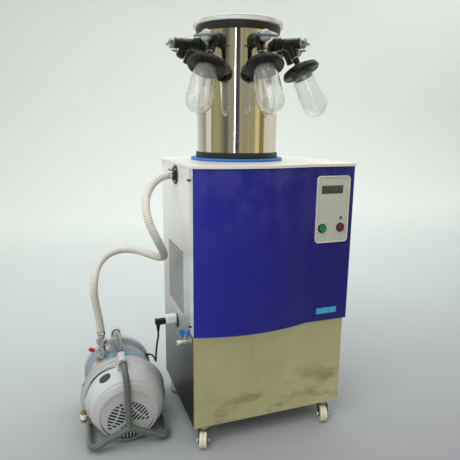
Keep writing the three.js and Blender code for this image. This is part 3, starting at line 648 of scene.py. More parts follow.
@dataclass(frozen=True)
class Rubber(Finish):
    """Black rubber or moulded black plastic with a fine matt skin and a little dust."""

    colour: Colour = (0.011, 0.0115, 0.009)
    roughness: float = 0.36
    dust: float = 0.16

    def paint(self, graph: Graph) -> None:
        """Sets the graph up for rubber."""
        skin = graph.grain(1500, detail=2)
        cloud = graph.grain(35, detail=6)
        tone = graph.mixed(graph.span(cloud, 0, self.dust, 0.45, 0.75), self.colour,
                           tuple(c + 0.04 for c in self.colour))
        graph.surface(Base_Color=tone, Roughness=graph.span(cloud, self.roughness, self.roughness + 0.16),
                      Specular_IOR_Level=0.36, Normal=graph.relief(skin, 0.00004))


@dataclass(frozen=True)
class Moulded(Finish):
    """Moulded plastic with a faint stipple."""

    colour: Colour = (0.5, 0.5, 0.5)
    roughness: float = 0.35
    variation: float = 0.06

    def paint(self, graph: Graph) -> None:
        """Sets the graph up for moulded plastic."""
        cloud = graph.grain(28, detail=5)
        tone = graph.mottled(cloud, self.colour, self.variation)
        graph.surface(Base_Color=tone, Roughness=graph.span(cloud, self.roughness, self.roughness + 0.1),
                      Normal=graph.relief(graph.grain(1300, detail=2), 0.00003))


@dataclass(frozen=True)
class Clear(Finish):
    """Glass or acrylic, with the faint haze of handling."""

    colour: Colour = (0.98, 0.99, 0.985)
    refraction: float = 1.47
    clearness: float = 1.0

    def paint(self, graph: Graph) -> None:
        """Sets the graph up for a clear piece."""
        haze = graph.span(graph.grain(40, detail=6), 0.0, 0.07, 0.45, 0.8)
        graph.surface(Base_Color=self.colour, Transmission_Weight=self.clearness, IOR=self.refraction,
                      Roughness=haze, Normal=graph.relief(graph.grain(18, detail=2), 0.0004))


@dataclass(frozen=True)
class HoseSkin(Finish):
    """Milky ribbed hose: paler on its ribs, with painted shade in the grooves between them."""

    ribs: float = 200.0

    def paint(self, graph: Graph) -> None:
        """Sets the graph up for the hose."""
        along = graph.node("SeparateXYZ", Vector=graph.node("UVMap").outputs["UV"]).outputs[1]
        # The sine follows the ribs; its low half paints shade into the grooves between them.
        wave = graph.sums("SINE", graph.sums("MULTIPLY", along, 2 * math.pi * self.ribs))
        share = graph.span(wave, 0, 1, -1, 1)
        cloud = graph.grain(14, detail=5)
        pale = graph.mixed(graph.span(cloud, 0, 1), (0.86, 0.84, 0.79), (0.91, 0.90, 0.86))
        tone = graph.mixed(share, (0.50, 0.48, 0.41), pale)
        graph.surface(Base_Color=tone, Transmission_Weight=0.22, IOR=1.45,
                      Roughness=graph.span(cloud, 0.28, 0.42),
                      Normal=graph.relief(graph.grain(500, detail=2), 0.00003))


@dataclass(frozen=True)
class Display(Finish):
    """A blank character display: rows of faint cells under a dark olive glass."""

    def paint(self, graph: Graph) -> None:
        """Sets the graph up for the display."""
        turn = graph.node("Mapping", Vector=graph.place, Rotation=(math.pi / 2, 0, 0))
        cells = graph.node("TexBrick", {"offset": 0.0}, Vector=turn.outputs["Vector"], Scale=1.0,
                           Mortar_Size=0.0006, Brick_Width=0.0042, Row_Height=0.0088,
                           Color1=(0.034, 0.040, 0.030), Color2=(0.040, 0.046, 0.034),
                           Mortar=(0.055, 0.060, 0.046))
        cloud = graph.grain(30, detail=4)
        graph.surface(Base_Color=cells.outputs["Color"], Coat_Weight=1.0, Coat_Roughness=0.06,
                      Roughness=graph.span(cloud, 0.2, 0.32))


@dataclass(frozen=True)
class StagePaint(Finish):
    """Studio paint with a painted shadow greying the floor in front, painted light paling it up the backdrop,
    and painted shade darkening the left.
    """

    # near is a painted shadow on the floor in front of the machine.
    near: Colour = (0.275, 0.27, 0.295)
    middle: Colour = (0.50, 0.55, 0.56)
    far: Colour = (0.89, 0.95, 0.95)
    left_shade: float = 0.87

    def paint(self, graph: Graph) -> None:
        """Sets the graph up for the floor and backdrop."""
        axes = graph.axes()
        # Painted light: darker in front as painted shadow, paling up the backdrop.
        depth = graph.span(graph.sums("ADD", axes[1], axes[2]), 0, 1, -0.6, 5.4)
        tone = graph.ramp(depth, [(0.0, self.near), (0.22, self.middle), (0.62, self.far), (1.0, self.far)])
        # Painted shade: darker towards the left.
        left = graph.span(axes[0], self.left_shade, 1.0, -0.9, 1.6)
        tone = graph.mixed(left, (0, 0, 0), tone)
        graph.surface(Base_Color=tone, Roughness=0.8)


class Coats:
    """The finishes that this machine's pieces share."""

    SIDE = SideMetal("side_sheet_metal", "side_metal")
    # Painted shade on the slot walls inward of x = -0.0961 m.
    VENTED = SideMetal("vented_sheet_metal", "side_metal", inside=-0.0961)
    FRONT = BrushedFront("lower_front_steel", "brushed_front")
    BLUE = BluePaint("blue_front_paint", "blue_paint")
    FLANGE = Enamel("flange_paint", "side_metal", colour=(0.50, 0.53, 0.58), roughness=0.3)
    TOP = Enamel("cream_top_paint", "cream_board", colour=(0.80, 0.78, 0.73), roughness=0.4, mottle=0.02)
    BORDER = Moulded("panel_border_plastic", "panel_plastic", colour=(0.66, 0.64, 0.55))
    FIELD = Moulded("panel_field_film", "panel_plastic", colour=(0.535, 0.555, 0.48), roughness=0.42,
                    variation=0.03)
    LINE = Moulded("panel_line_print", "panel_plastic", colour=(0.30, 0.30, 0.26), roughness=0.45)
    DISPLAY = Display("display_glass", "panel_plastic")
    GREEN = Moulded("green_cap_plastic", "green_cap", colour=(0.008, 0.22, 0.105), roughness=0.2)
    RED = Moulded("red_cap_plastic", "red_cap", colour=(0.16, 0.018, 0.026), roughness=0.2)
    BEZEL = Rubber("black_bezel_plastic", "black_rubber", roughness=0.28, dust=0.08)
    LABEL = Moulded("cyan_plate_film", "blue_paint", colour=(0.06, 0.42, 0.66), roughness=0.25)
    ZINC = BareMetal("zinc_plate", "zinc")
    CHROME = BareMetal("chrome_plate", "zinc", MetalTone.CHROME, 0.10)
    BRASS = BareMetal("brass_fitting", "zinc", MetalTone.BRASS, 0.24)
    SCREW = BareMetal("dark_screw_metal", "zinc", MetalTone.DARK, 0.3)
    UNIT = Enamel("refrigeration_black", "compressor_black", colour=(0.014, 0.015, 0.017), roughness=0.4)
    RING = Rubber("black_ring_rubber", "black_rubber", colour=(0.02, 0.021, 0.019), roughness=0.36)
    VALVE = Rubber("valve_black_plastic", "black_rubber", colour=(0.009, 0.009, 0.007), roughness=0.22)
    SLEEVE = Rubber("grey_sleeve_rubber", "black_rubber", colour=(0.13, 0.115, 0.09), roughness=0.5)
    GASKET = Moulded("blue_gasket_rubber", "gasket_blue", colour=(0.022, 0.16, 0.52), roughness=0.35)
    STEEL = MirrorSteel("drum_mirror_steel", "mirror_steel")
    LID = Clear("lid_acrylic", "clear_acrylic", colour=(0.90, 0.89, 0.885), refraction=1.15, clearness=0.62)
    GLASS = Clear("flask_glass", "lab_glass", clearness=0.90)
    KNOB = Moulded("knob_grey_plastic", "grey_plastic", colour=(0.115, 0.165, 0.17), roughness=0.3)
    KNOB_FACE = Moulded("knob_face_plastic", "grey_plastic", colour=(0.36, 0.37, 0.38), roughness=0.3)
    FORK = Enamel("fork_black_paint", "fork_black", colour=(0.018, 0.018, 0.018), roughness=0.3)
    WHEEL = Moulded("wheel_cream_plastic", "wheel_cream", colour=(0.66, 0.63, 0.50), roughness=0.4)
    WHITE = Moulded("white_housing_plastic", "white_plastic", colour=(0.80, 0.82, 0.85), roughness=0.3)
    LEVER_BLUE = Moulded("blue_lever_vinyl", "lever_blue", colour=(0.016, 0.16, 0.62), roughness=0.25)
    LEVER_RED = Moulded("red_lever_vinyl", "lever_red", colour=(0.48, 0.006, 0.02), roughness=0.25)
    COVER = Enamel("pump_cover_enamel", "pump_cover", colour=(0.47, 0.485, 0.49), roughness=0.3,
                   mottle=0.05)
    SADDLE = Enamel("pump_saddle_enamel", "pump_cover", colour=(0.33, 0.35, 0.34), roughness=0.32,
                    mottle=0.06)
    SIGHT = Rubber("sight_window_dark", "pump_cover", colour=(0.04, 0.048, 0.042), roughness=0.25, dust=0.3)
    PUMP = Enamel("pump_slate_enamel", "pump_grey", colour=(0.185, 0.235, 0.30), roughness=0.34)
    CYAN = Moulded("cyan_band_plastic", "pump_grey", colour=(0.05, 0.38, 0.60), roughness=0.3)
    TUBE = Enamel("frame_tube_enamel", "frame_grey", colour=(0.095, 0.110, 0.098), roughness=0.2, coat=0.8)
    GRILLE = Rubber("grille_shadow_black", "pump_cover", colour=(0.012, 0.015, 0.024), roughness=0.5)
    FOOT = Rubber("foot_blue_rubber", "pump_grey", colour=(0.06, 0.075, 0.11), roughness=0.5)
    HOSE = HoseSkin("hose_ribbed_plastic", "hose_plastic", ribs=131.0)
    CORD = Rubber("cord_black_rubber", "black_rubber", roughness=0.34, dust=0.1)


# ---- workshop ----------------------------------------------------------------------------------


class Workshop:
    """Makes pieces from shapes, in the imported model's frame."""

    def __init__(self) -> None:
        """Finds where the working zero lies in the frame."""
        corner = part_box("left_side_panel")[0] * MILLIMETRES
        self.shift = corner - Vector((0, 3.3, 68))

    def metres(self, point: Sequence[float]) -> Vector:
        """Carries a working point into the frame."""
        return (Vector(point) + self.shift) * METRE

    def make(self, name: str, shape: Shape, finish: Finish, body: str = STATIC,
             replaces: Sequence[str] = (), bevel: float = 0.0, crease: float = 38.0) -> bpy.types.Object:
        """Makes one piece.

        Args:
            name: The piece's name.
            shape: Its shape, in working millimetres.
            finish: Its finish.
            body: The body that it moves with.
            replaces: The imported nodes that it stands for.
            bevel: How far its sharp edges are rounded, in millimetres.
            crease: The angle, in degrees, over which an edge counts as sharp.

        Returns:
            The new object.
        """
        net = net_of(shape, self.shift, METRE)
        sharp = [e for e in net.edges if e.is_manifold and e.calc_face_angle(0) > math.radians(crease)]
        if bevel and sharp:
            bmesh.ops.bevel(net, geom=sharp, offset=bevel * METRE, segments=3, profile=0.5,
                            affect="EDGES", clamp_overlap=True)
        mesh = bpy.data.meshes.new(name)
        net.to_mesh(mesh)
        net.free()
        mesh.shade_smooth()
        mesh.set_sharp_from_angle(angle=math.radians(crease))
        mesh.materials.append(finish.material())
        made = placed(name, mesh)
        if bevel:
            made.modifiers.new("even_normals", "WEIGHTED_NORMAL").keep_sharp = True
        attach(made, body)
        if replaces:
            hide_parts(*replaces)
        LOG.info("%s: %d faces, on %s", name, len(mesh.polygons), body)
        return made

    def refined(self, name: str, node: str, finish: Finish, bevel: float) -> bpy.types.Object:
        """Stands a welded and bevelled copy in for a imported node.

        Args:
            name: The new piece's name.
            node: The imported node.
            finish: Its finish.
            bevel: How far its sharp edges are rounded, in millimetres.

        Returns:
            The new object.
        """
        source = frame["nodes"][node]
        net = bmesh.new()
        net.from_mesh(source.data)
        weld, flat = 1e-5, math.radians(0.5)
        bmesh.ops.remove_doubles(net, verts=net.verts, dist=weld)
        bmesh.ops.dissolve_limit(net, angle_limit=flat, verts=net.verts, edges=net.edges)
        corners = [v.co * MILLIMETRES - self.shift for v in net.verts]
        net.verts.index_update()
        shape = Shape(corners, [tuple(v.index for v in f.verts) for f in net.faces])
        net.free()
        return self.make(name, shape, finish, source["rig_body"], [node], bevel, crease=20)

    def dress(self, node: str, finish: Finish) -> None:
        """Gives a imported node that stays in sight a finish."""
        made = frame["nodes"][node]
        made.data.materials.clear()
        made.data.materials.append(finish.material())
        LOG.info("%s: dressed in %s", node, finish.name)


# ---- cabinet -----------------------------------------------------------------------------------


@dataclass
class Cabinet:
    """Sheets, blue front, top plate and what shows inside."""

    shop: Workshop
    width: float = 524.0
    skirt_top: float = 380.0
    top: float = 888.0
    fold: float = 374.0
    left_y: float = -3.0
    flat_y: float = -9.0
    rise: float = 30.0
    right: float = 530.0
    flange: float = 38.0
    hem: float = 20.0
    sheet: float = 3.0
    trap: Flat = (224.0, 245.0)
    catches: Flat = (406.0, 854.0)

    def build(self) -> None:
        """Makes every piece of the cabinet."""
        for name, node, finish, bevel in (("side_sheet", "left_side_panel", Coats.VENTED, 0.5),
                                          ("wrap_sheet", "wrap_panel", Coats.SIDE, 0.5),
                                          ("lower_front_sheet", "lower_front_panel", Coats.FRONT, 0.8),
                                          ("cream_top", "top_plate", Coats.TOP, 1.4)):
            self.shop.refined(name, node, finish, bevel)
        self.blue_front()
        self.inside()

    def bulge(self, forward: float, start: float, steps: int = 60) -> list[Flat]:
        """Plan points of the bulged front.

        Args:
            forward: How far the line is moved to the front.
            start: Where it starts across the front.
            steps: Straight parts in it.

        Returns:
            Points from the start to the fold.
        """
        line = []
        for i in range(steps + 1):
            x = start + (self.fold - start) * i / steps
            along = 2 * x / self.fold - 1
            chord = self.left_y + (self.flat_y - self.left_y) * x / self.fold
            line.append((x, chord - self.rise * (1 - along * along) - forward))
        return line

    def blue_front(self) -> None:
        """Makes the blue skin, its bottom lip, the pale flange and the flange's two catches."""
        inner = self.flat_y + self.sheet
        outline = [(0, 0), *self.bulge(0, 0), (self.right, self.flat_y), (self.right, self.flat_y + self.hem),
                   (self.right - self.sheet, self.flat_y + self.hem), (self.right - self.sheet, inner),
                   *reversed(self.bulge(-self.sheet, self.sheet))]
        self.shop.make("blue_front_skin", prism(outline, self.skirt_top, self.top), Coats.BLUE,
                       replaces=["blue_front_panel"], bevel=0.7, crease=12)
        lip = [(1, 20), *self.bulge(-1, 1), (self.right - 1, self.flat_y + 1), (self.right - 1, -1),
               (self.width - 4, -1), (self.width - 4, 20)]
        self.shop.make("blue_front_lip", prism(lip, self.skirt_top + 0.2, self.skirt_top + 3), Coats.BLUE)
        self.shop.make("front_flange", block((0, self.sheet), (0.1, self.flange),
                                             (self.skirt_top, self.top)), Coats.FLANGE, bevel=0.6)
        catches = [rod((1, 24, z), (-9.6, 24, z), 3.4, 0.8) for z in self.catches]
        self.shop.make("flange_catches", all_of(catches), Coats.SCREW)

    def inside(self) -> None:
        """Makes the trap's vessel and dresses the pan and the refrigeration unit."""
        low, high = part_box("cold_trap")
        rim, base = high.z * MILLIMETRES, low.z * MILLIMETRES
        vessel = lathe([(0, base), (98, base), (116, base + 18), (116, rim - 3), (135, rim - 3),
                        (135, rim), (112, rim), (112, base + 20), (97, base + 4), (0, base + 4)], 4)
        self.shop.make("trap_vessel", vessel.shifted(*self.trap, 0), Coats.CHROME, replaces=["cold_trap"])
        self.shop.dress("base_pan", Coats.ZINC)
        self.shop.dress("compressor", Coats.UNIT)


@dataclass
class ControlPanel:
    """Raised plastic panel with a display, a lamp and two buttons."""

    shop: Workshop
    x: Flat = (395.0, 513.0)
    z: Flat = (647.0, 860.0)
    back: float = -9.3
    field: float = -13.3
    border: float = -14.8
    corner: float = 12.0
    window_x: Flat = (411.0, 488.0)
    window_z: Flat = (804.0, 830.0)
    button_x: Flat = (418.0, 484.0)
    button_z: float = 695.6
    lamp: Flat = (484.4, 726.7)

    def build(self) -> None:
        """Makes every piece of the panel."""
        self.plate()
        for name, x, finish in zip(("start", "stop"), self.button_x, (Coats.GREEN, Coats.RED)):
            self.button(name, x, finish)
        self.label()

    def plate(self) -> None:
        """Makes the border, the field with its openings, the display and the lamp."""
        rows = [(0, self.back), (0, self.border + 1.2), (0.4, self.border + 0.3), (1.2, self.border),
                (3.0, self.border), (3.7, self.border + 0.3), (4, self.field + 0.2), (4, self.back)]
        rings = [[(x, y, z) for x, z in inset(self.x, self.z, self.corner, by)] for by, y in rows]
        self.shop.make("panel_border", lofted(rings, looped=True), Coats.BORDER, replaces=["control_panel"])
        field = facing(inset(self.x, self.z, self.corner, 3.8), self.back - 0.1, self.field)
        bores = [rod((x, -6, self.button_z), (x, -20, self.button_z), 11.4, 0.1, 48)
                 for x in self.button_x]
        window = block(self.window_x, (self.field - 2, self.field + 1.2), self.window_z)
        self.shop.make("panel_field", field.minus(*bores, window), Coats.FIELD, bevel=0.25)
        glass = facing(inset(self.window_x, self.window_z, 1.5, 0.5), self.field + 0.3, self.field + 1.3)
        self.shop.make("panel_display", glass, Coats.DISPLAY)
        lines = [[(x, y, z) for x, z in inset(self.x, self.z, self.corner, by)]
                 for by, y in ((8.6, self.field + 0.2), (8.6, self.field - 0.12), (9.2, self.field - 0.12),
                               (9.2, self.field + 0.2))]
        self.shop.make("panel_line", lofted(lines, looped=True), Coats.LINE)
        x, z = self.lamp
        stand = aimed((x, self.field, z), (x, self.field - 1, z))
        bezel = turned([(2.6, 0), (4, 0), (4, 1.6), (3.4, 2), (2.6, 2), (2.6, 0)], 32)
        self.shop.make("lamp_bezel", bezel.moved(stand), Coats.BEZEL)
        lens = lathe([(0, 0), (2.5, 0), (2.5, 1.8), (0, 2.6)], 1.2, 32)
        self.shop.make("lamp_lens", lens.moved(stand), Coats.RED)

    def button(self, name: str, x: float, finish: Finish) -> None:
        """Makes a button and its bezel.

        Args:
            name: The button's body.
            x: Its middle across the front.
            finish: Its cap's finish.
        """
        stand = aimed((x, self.field, self.button_z), (x, self.field - 1, self.button_z))
        bezel = lathe([(11.4, 0), (14.5, 0), (14.5, 2.6), (13.2, 4), (12, 4), (11.4, 3.2), (11.4, 0)],
                      0.5, 64)
        self.shop.make(f"{name}_bezel", bezel.moved(stand), Coats.BEZEL)
        cap = lathe([(0, -0.6), (11, -0.6), (11, 5.4), (9.6, 7), (8.6, 7), (6.5, 6.3), (0, 6.1)], 0.7, 64)
        self.shop.make(f"{name}_cap", cap.moved(stand), finish, name, [f"{name}_button"])

    def label(self) -> None:
        """Makes the bare cyan plate low on the blue front."""
        plate = facing(rounded_outline((415, 490), (405, 425), 1.2), self.back + 0.6, self.back - 0.6)
        self.shop.make("cyan_plate", plate, Coats.LABEL, bevel=0.3)


@dataclass
class Caster:
    """One swivel caster with a twin-tread wheel."""

    shop: Workshop
    index: int
    x: float
    y: float
    heading: float
    trail: float = 24.0
    radius: float = 25.0
    half: float = 11.5

    def build(self) -> None:
        """Makes the swivel, fork, axle caps and wheel."""
        swing = Matrix.Rotation(math.radians(self.heading), 4, "Z")
        self.place = Matrix.Translation((self.x, self.y, 0)) @ swing
        self.fork()
        self.wheel()

    def fork(self) -> None:
        """Makes what swivels."""
        body, node = f"caster_{self.index}", f"caster_fork_{self.index}"
        side = softened([(-17, 57), (14, 57), (11, 48), (-14, 20), (-20, 16.5), (-28, 16.5), (-33, 23),
                         (-31.5, 33), (-17, 57)], 5)
        stand = Matrix(((0, 0, 1, 0), (1, 0, 0, 0), (0, 1, 0, 0), (0, 0, 0, 1)))
        legs = [prism(side[:-1], x, x + 3).moved(stand) for x in (14, -17)]
        crown = block((-17, 17), (-16, 13), (54, 58))
        self.shop.make(f"fork_{self.index}", all_of([*legs, crown]).moved(self.place), Coats.FORK, body,
                       [node], bevel=0.5)
        race = lathe([(0, 57), (15, 57), (18, 59), (19, 60.5), (17.5, 62), (19, 63.4), (19, 65.4), (0, 65.4)],
                     0.8, 48)
        self.shop.make(f"race_{self.index}", race.moved(self.place), Coats.ZINC, body)
        axle = [rod((s * 12, -self.trail, self.radius), (s * 20, -self.trail, self.radius), 5.2, 1.5)
                for s in (-1, 1)]
        self.shop.make(f"axle_caps_{self.index}", all_of(axle).moved(self.place), Coats.WHITE, body)

    def wheel(self) -> None:
        """Makes the wheel with its two treads."""
        r, h = self.radius, self.half
        tread = [(4.6, -h + 2), (9, -h + 2), (9.5, -h), (12, -h), (13, -h + 2.2), (19, -h + 2.2), (20, -h),
                 (23.2, -h), (r, -h + 2.4), (r, -2.4), (24, -1.2), (22.4, -0.8)]
        shape = lathe([*tread, *((a, -b) for a, b in reversed(tread)), tread[0]], 0.8, 72)
        stand = Matrix.Translation((0, -self.trail, self.radius)) @ Matrix.Rotation(math.pi / 2, 4, "Y")
        self.shop.make(f"tread_{self.index}", shape.moved(self.place @ stand), Coats.WHEEL,
                       f"wheel_{self.index}", [f"caster_wheel_{self.index}"])


# ---- drum --------------------------------------------------------------------------------------


def port_turn(index: int) -> float:
    """The heading of a port about the drum, in radians; the first one faces the front."""
    return math.radians(270 - 360 // PORTS * index)


@dataclass
class Drum:
    """Polished drum between black rings, on a blue gasket and under a clear lid."""

    shop: Workshop
    x: float = 224.0
    y: float = 245.0
    radius: float = 134.0
    wall: float = 2.5
    port_z: float = 1260.0
    port_radius: float = 9.0

    def build(self) -> None:
        """Makes every ring, the shell and the lid."""
        self.ring("gasket_ring", [(110, 898.4), (154, 898.4), (156, 900.5), (156, 903.5), (153.5, 907),
                                  (110, 907), (110, 898.4)], Coats.GASKET, "base_gasket")
        self.ring("drum_foot_ring", [(118, 907.3), (138.4, 907.3), (138.4, 922), (136, 925), (118, 925),
                                     (118, 907.3)], Coats.RING, "base_ring")
        self.ring("drum_head_ring", [(118, 1295), (135.5, 1295), (136.5, 1303), (137.5, 1307),
                                     (137.5, 1317.7), (118, 1317.7), (118, 1295)], Coats.RING, "top_ring")
        self.shell()
        lid = lathe([(0, 1313), (116, 1313), (116, 1318), (146, 1318), (146, 1330.6), (143.6, 1333),
                     (0, 1333)], 0.9, 128)
        self.shop.make("clear_lid", self.set_down(lid), Coats.LID, replaces=["lid"])

    def set_down(self, shape: Shape) -> Shape:
        """Moves a shape onto the drum's axis."""
        return shape.shifted(self.x, self.y, 0)

    def ring(self, name: str, profile: Sequence[Flat], finish: Finish, node: str) -> None:
        """Makes a turned ring.

        Args:
            name: The piece's name.
            profile: A closed line of (radius, height) points.
            finish: Its finish.
            node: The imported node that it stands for.
        """
        self.shop.make(name, self.set_down(lathe(profile, 1.2, 128)), finish, replaces=[node])

    def shell(self) -> None:
        """Makes the shell with its eight port holes."""
        inner, low, high = self.radius - self.wall, 925.3, 1294.7
        profile = [(inner, low), (self.radius, low), (self.radius, high), (inner, high), (inner, low)]
        holes = []
        for index in range(PORTS):
            turn = port_turn(index)
            near, far = ((reach * math.cos(turn), reach * math.sin(turn), self.port_z)
                         for reach in (self.radius - 14, self.radius + 14))
            holes.append(rod(near, far, self.port_radius, 0.1, 24))
        shell = turned(profile, 160).minus(*holes)
        self.shop.make("drum_shell", self.set_down(shell), Coats.STEEL, replaces=["drum"])


class Load(Enum):
    """What hangs from a valve."""

    NOTHING = "nothing"
    FLASK = "flask"


@dataclass
class Port:
    """A valve with its branch and knob, and its capped flask where it has one."""

    shop: Workshop
    index: int
    load: Load
    drum: Drum
    root: float = 175.0
    tilt: float = 26.5
    branch: float = 46.3
    wing: float = 36.5

    def build(self) -> None:
        """Makes the valve, the knob and what hangs from it."""
        spin = Matrix.Rotation(port_turn(self.index), 4, "Z")
        self.place = Matrix.Translation((self.drum.x, self.drum.y, 0)) @ spin
        lean, root, z = math.radians(self.tilt), self.root, self.drum.port_z
        self.outward = self.place @ aimed((0, 0, z), (1, 0, z))
        self.down = self.place @ aimed((root, 0, z), (root + math.sin(lean), 0, z - math.cos(lean)))
        self.valve()
        self.knob()
        if self.load is Load.FLASK:
            self.flask()

    def valve(self) -> None:
        """Makes the valve's black body and the pins in its collar."""
        z = self.drum.port_z
        collar = lathe([(0, 131.8), (18.5, 131.8), (21, 134.6), (21, 139), (18.6, 140.6), (18.6, 143.6),
                        (20.4, 145), (20.4, 149), (16.5, 152), (0, 152)], 1.2, 56)
        barrel = lathe([(0, 150), (15.4, 150), (15.4, 157), (16.5, 158.5), (16.5, 197), (15.2, 198.5),
                        (15.2, 203), (16.8, 204.5), (16.8, 211), (15.2, 214), (0, 214)], 1.0, 56)
        depth = self.branch - 22
        stem = lathe([(0, 0), (14.8, 0), (14.6, 14), (14.2, 15.5), (14.2, 20), (13.2, 21.5),
                      (12.8, 36), (13.2, 37.5), (13.2, 44.6), (12.2, self.branch),
                      (8.5, self.branch), (8.5, depth), (0, depth)], 0.8, 56)
        saddle = block((162, 194), (-13.5, 13.5), (z - 20, z + 3))
        name = f"valve_{self.index}"
        self.shop.make(f"{name}_body", (collar + barrel).moved(self.outward) + stem.moved(self.down),
                       Coats.VALVE, replaces=[f"port_valve_{self.index}"])
        self.shop.make(f"{name}_saddle", saddle.moved(self.place), Coats.VALVE, bevel=4.5)
        pins = [rod((149.5, 13 * c, z + 13 * d), (152.6, 13 * c, z + 13 * d), 2, 0.5, 12)
                for d in (0.7, -0.7) for c in (0.7, -0.7)]
        self.shop.make(f"{name}_pins", all_of(pins).moved(self.place), Coats.ZINC)

    def knob(self) -> None:
        """Makes the grey winged knob."""
        z, span = self.drum.port_z, self.wing
        boss = lathe([(0, 214.4), (15.4, 214.4), (16.8, 216), (16.8, 224), (15.4, 227.4), (11, 229.8),
                      (0, 231)], 1.2, 48)
        outline = softened([(-span, -2.6), (-14, -3.4), (14, -3.4), (span, -2.6), (span, 2.6), (14, 3.4),
                            (-14, 3.4), (-span, 2.6), (-span, -2.6)], 2.2, 4)
        stand = Matrix(((0, 0, 1, 0), (1, 0, 0, 0), (0, 1, 0, z), (0, 0, 0, 1)))
        wing = prism(outline[:-1], 221.4, 231.8).moved(stand)
        name = f"knob_{self.index}"
        self.shop.make(f"{name}_grip", wing.moved(self.place), Coats.KNOB, name,
                       [f"valve_knob_{self.index}"], bevel=1.4)
        self.shop.make(f"{name}_boss", boss.moved(self.outward), Coats.KNOB_FACE, name)

    def flask(self) -> None:
        """Makes the rubber cap with its collet and inner sleeve, and the glass."""
        cap = lathe([(0, 46.7), (8.6, 46.7), (9.4, 47.6), (9.2, 66), (11, 71), (18.6, 71.2), (20.4, 72),
                     (33, 75.8), (46, 79.6), (52.4, 82.2), (55.2, 85.2), (55.2, 89.6), (56.2, 90.9),
                     (58.4, 91.7), (58.6, 93), (58.6, 97), (57.6, 99.6), (55.2, 101.9), (53.6, 101.9),
                     (53, 100.2), (50, 100.2), (49.4, 101.9), (47, 101.9), (46.4, 100), (43, 100),
                     (42.4, 101.9), (39.6, 101.9), (39, 100.4), (36.6, 100.4), (36, 101.9), (34.4, 101.9),
                     (34.1, 94.3), (0, 94.3)], 0.6)
        name = f"flask_{self.index}"
        self.shop.make(f"{name}_stopper", cap.moved(self.down), Coats.VALVE,
                       replaces=[f"flask_cap_{self.index}"])
        sleeve = [(27.5, 94.6), (30.2, 94.6), (30.2, 115.5), (28.8, 117), (27.5, 115.5), (27.5, 94.6)]
        self.shop.make(f"{name}_sleeve", turned(sleeve, 64).moved(self.down), Coats.SLEEVE)
        centre, radius, wall = 202.5, 39.8, 2.6
        outer = [(32.8, 95), (32.8, 105), (36.2, 121), (38.2, 150), (radius, 184)]
        inner = [(r - wall, along) for r, along in outer]
        arc = [(math.cos(a), math.sin(a)) for a in (math.pi / 2 * k / 20 for k in range(20))]
        outside = softened(outer, 7, 5) + [(radius * c, centre + radius * s) for c, s in arc]
        within = softened(inner, 7, 5) + [((radius - wall) * c, centre + (radius - wall) * s) for c, s in arc]
        profile = [(0, centre + radius), *reversed(outside), *within, (0, centre + radius - wall)]
        self.shop.make(f"{name}_glass", turned(profile, 96).moved(self.down), Coats.GLASS,
                       replaces=[f"flask_{self.index}"], crease=60)
        collet = [(9.3, 47), (12.6, 47), (12.6, 50.4), (11.6, 51.4), (9.3, 51.4), (9.3, 47)]
        collet = turned(softened(collet, 0.5)[:-1] + [collet[0]], 40)
        self.shop.make(f"{name}_collet", collet.moved(self.down), Coats.ZINC)


# ---- left side ---------------------------------------------------------------------------------


